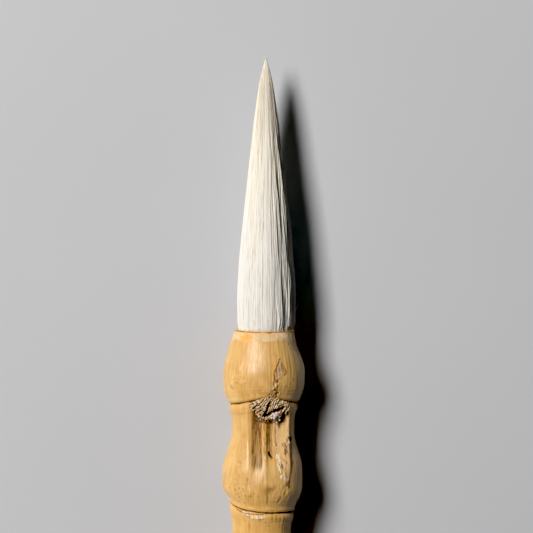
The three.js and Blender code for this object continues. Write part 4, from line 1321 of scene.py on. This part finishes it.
def make_stray_hairs():
    """A few hairs that have come out of the tuft's side and tip."""
    rng = np.random.default_rng(91)
    count = 16
    t = np.linspace(0, 1, 14)[None]
    start = np.concatenate([[3.0, 3.4], rng.uniform(2, 44, count - 2)])[:, None]
    turn = np.concatenate([[0.235, 0.245], rng.uniform(0, 1, count - 2)])[:, None]
    length = np.concatenate([[2.6, 1.4], rng.uniform(2, 6, count - 2)])[:, None]
    h = start + length * t * 0.96
    lift = np.concatenate([[0.95, 0.5], rng.uniform(0.1, 0.45, count - 2)])[:, None] * t**1.6
    angle = 2 * math.pi * (turn + 0.006 * t * np.sin(turn * 50))
    out = tuft_radius(h) + lift - 0.03
    paths = around_y(out, angle, h)
    radii = np.maximum(0.05 * (1 - t) ** 0.5, 0.008) * np.ones((count, 1))
    look = dict(tone=np.full((count, 1), 0.5), height=h / TUFT_LENGTH)
    bend(tubes("stray_hairs", paths, radii, 4, COVER_HAIR, None, "cover_hair", **look))


def make_tuft():
    core, cover = ["core_hair", "core_hair_root"], ["cover_hair", "cover_hair_root"]
    make_tuft_body("core_hair_bundle", 1.15, TUFT_LENGTH - 5, CORE_HAIR, "core_hair", core, 60)
    make_tuft_body("cover_hair_bundle", 0.13, TUFT_LENGTH - 0.5, COVER_HAIR, "cover_hair", cover, 63)
    make_hairs("cover_hairs_under", HAIRS_A_LAYER, 71, (0.2, 0.5), 0.085, 0.5)
    make_hairs("cover_hairs_middle", HAIRS_A_LAYER, 72, (0.05, 0.3), 0.08, 0.7)
    make_hairs("cover_hairs_outer", HAIRS_A_LAYER, 73, (-0.02, 0.16), 0.072, 0.85)
    make_stray_hairs()


# ---------------------------------------------------------------- mouth bead, tail plug and hidden parts


def make_bead():
    """The thin uneven bead of glue between the hair and the mouth, with one small run."""
    around, across = 260, 10
    turn, section = np.meshgrid(np.arange(around) / around, np.arange(across) / across, indexing="ij")
    swell = 1 + 0.35 * noise(turn, 0 * turn, 40, 1, 41) + 0.2 * noise(turn, 0 * turn, 90, 1, 42)
    run = bell((turn + 0.5) % 1 - 0.5 + 0.016, 0.006)
    angle = 2 * math.pi * section
    half_wide = 0.15 * swell
    half_high = 0.1 * swell + 0.22 * run
    radius = BEAD_RADIUS + half_wide * np.cos(angle) + 0.14 * run
    y = 0.17 - 0.25 * run + half_high * np.sin(angle)
    points = around_y(radius, 2 * math.pi * turn, y).reshape(-1, 3)
    index = lambda i, j: (i % around) * across + j % across
    quad = lambda i, j: [index(i + 1, j), index(i + 1, j + 1), index(i, j + 1), index(i, j)]
    faces = [quad(i, j) for i in range(around) for j in range(across)]
    piece = new_piece("mouth_glue_bead", points, faces, GLUE, "handle", "hide_glue")
    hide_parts("mouth_bead")


def make_plug():
    """The horn plug, turned: a hole for a cord, a rounded end, a groove and a tenon."""
    low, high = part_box("tail_plug")
    end = (low[1] - MOUTH[1]) / MM
    neck = -STEM_LENGTH - GLUE_GAP
    top = (high[1] - MOUTH[1]) / MM
    rounding = np.radians(np.arange(10, 91, 16))
    corner = [(3.75 + 0.95 * math.sin(a), end + 0.95 * (1 - math.cos(a))) for a in rounding]
    hollow = np.radians(np.arange(20, 161, 20))
    groove = [(4.72 + 0.5 * (1 - math.sin(a)), end + 6.35 + 0.55 * math.cos(a)) for a in hollow]
    turn = np.linspace(0.2, 3.0, 7)
    collar = [(5.42 - 0.12 * math.sin(a) ** 4, end + 7.05 + 1.2 * a / math.pi) for a in turn]
    hole = [(0.02, 6), (1.0, 6), (1.15, 5.8), (1.15, 0.25), (1.22, 0.08), (1.4, 0), (2.4, 0), (3.6, 0)]
    side = [(4.95, 2.0), (5.12, 3.2), (5.22, 4.5), (5.26, 5.6)]
    outline = [(r, end + y) for r, y in hole] + corner + [(r, end + y) for r, y in side]
    outline += sorted(groove, key=lambda p: p[1]) + collar
    outline += [(5.42, neck - 0.1), (5.3, neck), (3.1, neck), (3.1, top - 0.2), (2.9, top), (0.02, top)]
    radius, y = np.array(outline).T
    sides = 128
    turn = 2 * math.pi * np.arange(sides) / sides
    points = around_y(radius[:, None], turn, np.repeat(y[:, None], sides, 1), knots[-1]["x"], knots[-1]["z"])
    faces = closed_faces(len(outline), sides)
    piece = new_piece("horn_tail_plug", points.reshape(-1, 3), faces, HORN, "handle", "horn")
    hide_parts("tail_plug")


def dress_hidden_parts():
    """The CAD nodes that are kept as they are get their own materials."""
    looks = dict(socket_glue=GLUE, tail_plug_glue=GLUE, root_resin=RESIN, root_thread=THREAD)
    for node, material in looks.items():
        wear(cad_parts[node], material)


# ---------------------------------------------------------------- table, light and camera

VIEW_WIDTH = 109.3  # across the picture, at the height of the brush's axis
CAMERA_DISTANCE = 600
CAMERA_TILT = 3.1  # degrees from straight down, towards the tip
AIM = (0.1, 13.2, 0)
BLACK_LEVEL = (0.0213, 0.0182, 0.0178)  # the light that is shown as black
TABLE_WIDTH = 4.0  # in metres


def make_table_top():
    cells = 40
    step = np.linspace(-TABLE_WIDTH / 2, TABLE_WIDTH / 2, cells + 1) / MM
    x, y = np.meshgrid(step, step, indexing="ij")
    z = np.full_like(x, -MOUTH[2] / MM - TABLE_BELOW)
    points = np.stack([x, y, z], -1).reshape(-1, 3)
    row = cells + 1
    corners = np.array([0, row, row + 1, 1])
    faces = [i * row + j + corners for i in range(cells) for j in range(cells)]
    table = new_piece("table_top", points, faces, make_table())
    table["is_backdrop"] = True


def make_light(name, direction, distance, size, power, tint=(1, 1, 1)):
    """A lamp that looks at the handle's mouth. Its size is its width and its length, in metres."""
    lamp = bpy.data.lights.new(name, "AREA")
    lamp.shape = "RECTANGLE"
    lamp.size, lamp.size_y = size
    lamp.energy, lamp.color = power, tint
    holder = bpy.data.objects.new(name, lamp)
    bpy.context.scene.collection.objects.link(holder)
    aim = Vector(direction).normalized()
    holder.location = Vector(MOUTH) + aim * distance
    across = Vector((0, 1, 0)).cross(aim).normalized()
    holder.rotation_euler = Matrix((across, aim.cross(across), aim)).transposed().to_euler()


def make_lights():
    make_light("key", (-0.61, 0.47, 1.0), 1.2, (0.32, 0.58), 18.4, (1.0, 0.985, 0.955))
    make_light("low_fill", (0.85, -0.75, 0.08), 1.0, (0.4, 0.06), 0.34, (1.0, 0.95, 0.88))
    world = bpy.data.worlds.new("studio")
    world.use_nodes = True
    world.node_tree.nodes["Background"].inputs["Color"].default_value = (0.95, 0.97, 1.0, 1)
    world.node_tree.nodes["Background"].inputs["Strength"].default_value = 0.003
    bpy.context.scene.world = world
    view = bpy.context.scene.view_settings
    view.view_transform = "Standard"
    view.use_curve_mapping = True
    view.curve_mapping.black_level = BLACK_LEVEL
    view.curve_mapping.update()


def make_camera():
    camera = bpy.data.cameras.new("camera")
    camera.sensor_width = 36
    camera.lens = 36 * CAMERA_DISTANCE / VIEW_WIDTH
    camera.clip_start, camera.clip_end = 0.01, 20
    holder = bpy.data.objects.new("camera", camera)
    bpy.context.scene.collection.objects.link(holder)
    tilt = math.radians(CAMERA_TILT)
    offset = np.array([0, math.sin(tilt), math.cos(tilt)]) * CAMERA_DISTANCE * MM
    holder.location = MOUTH + np.array(AIM) * MM + offset
    holder.rotation_euler = (-tilt, 0, 0)
    bpy.context.scene.camera = holder


make_stem()
for i, knot in enumerate(knots):
    make_fibres(i, knot)
make_curled_flakes()
make_debris()
make_tuft()
make_bead()
make_plug()
dress_hidden_parts()
make_table_top()
make_lights()
make_camera()

plain = lambda box: [[float(number) for number in corner] for corner in box]
{"cad": plain(CAD_BOUNDS), "visual": plain(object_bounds())}
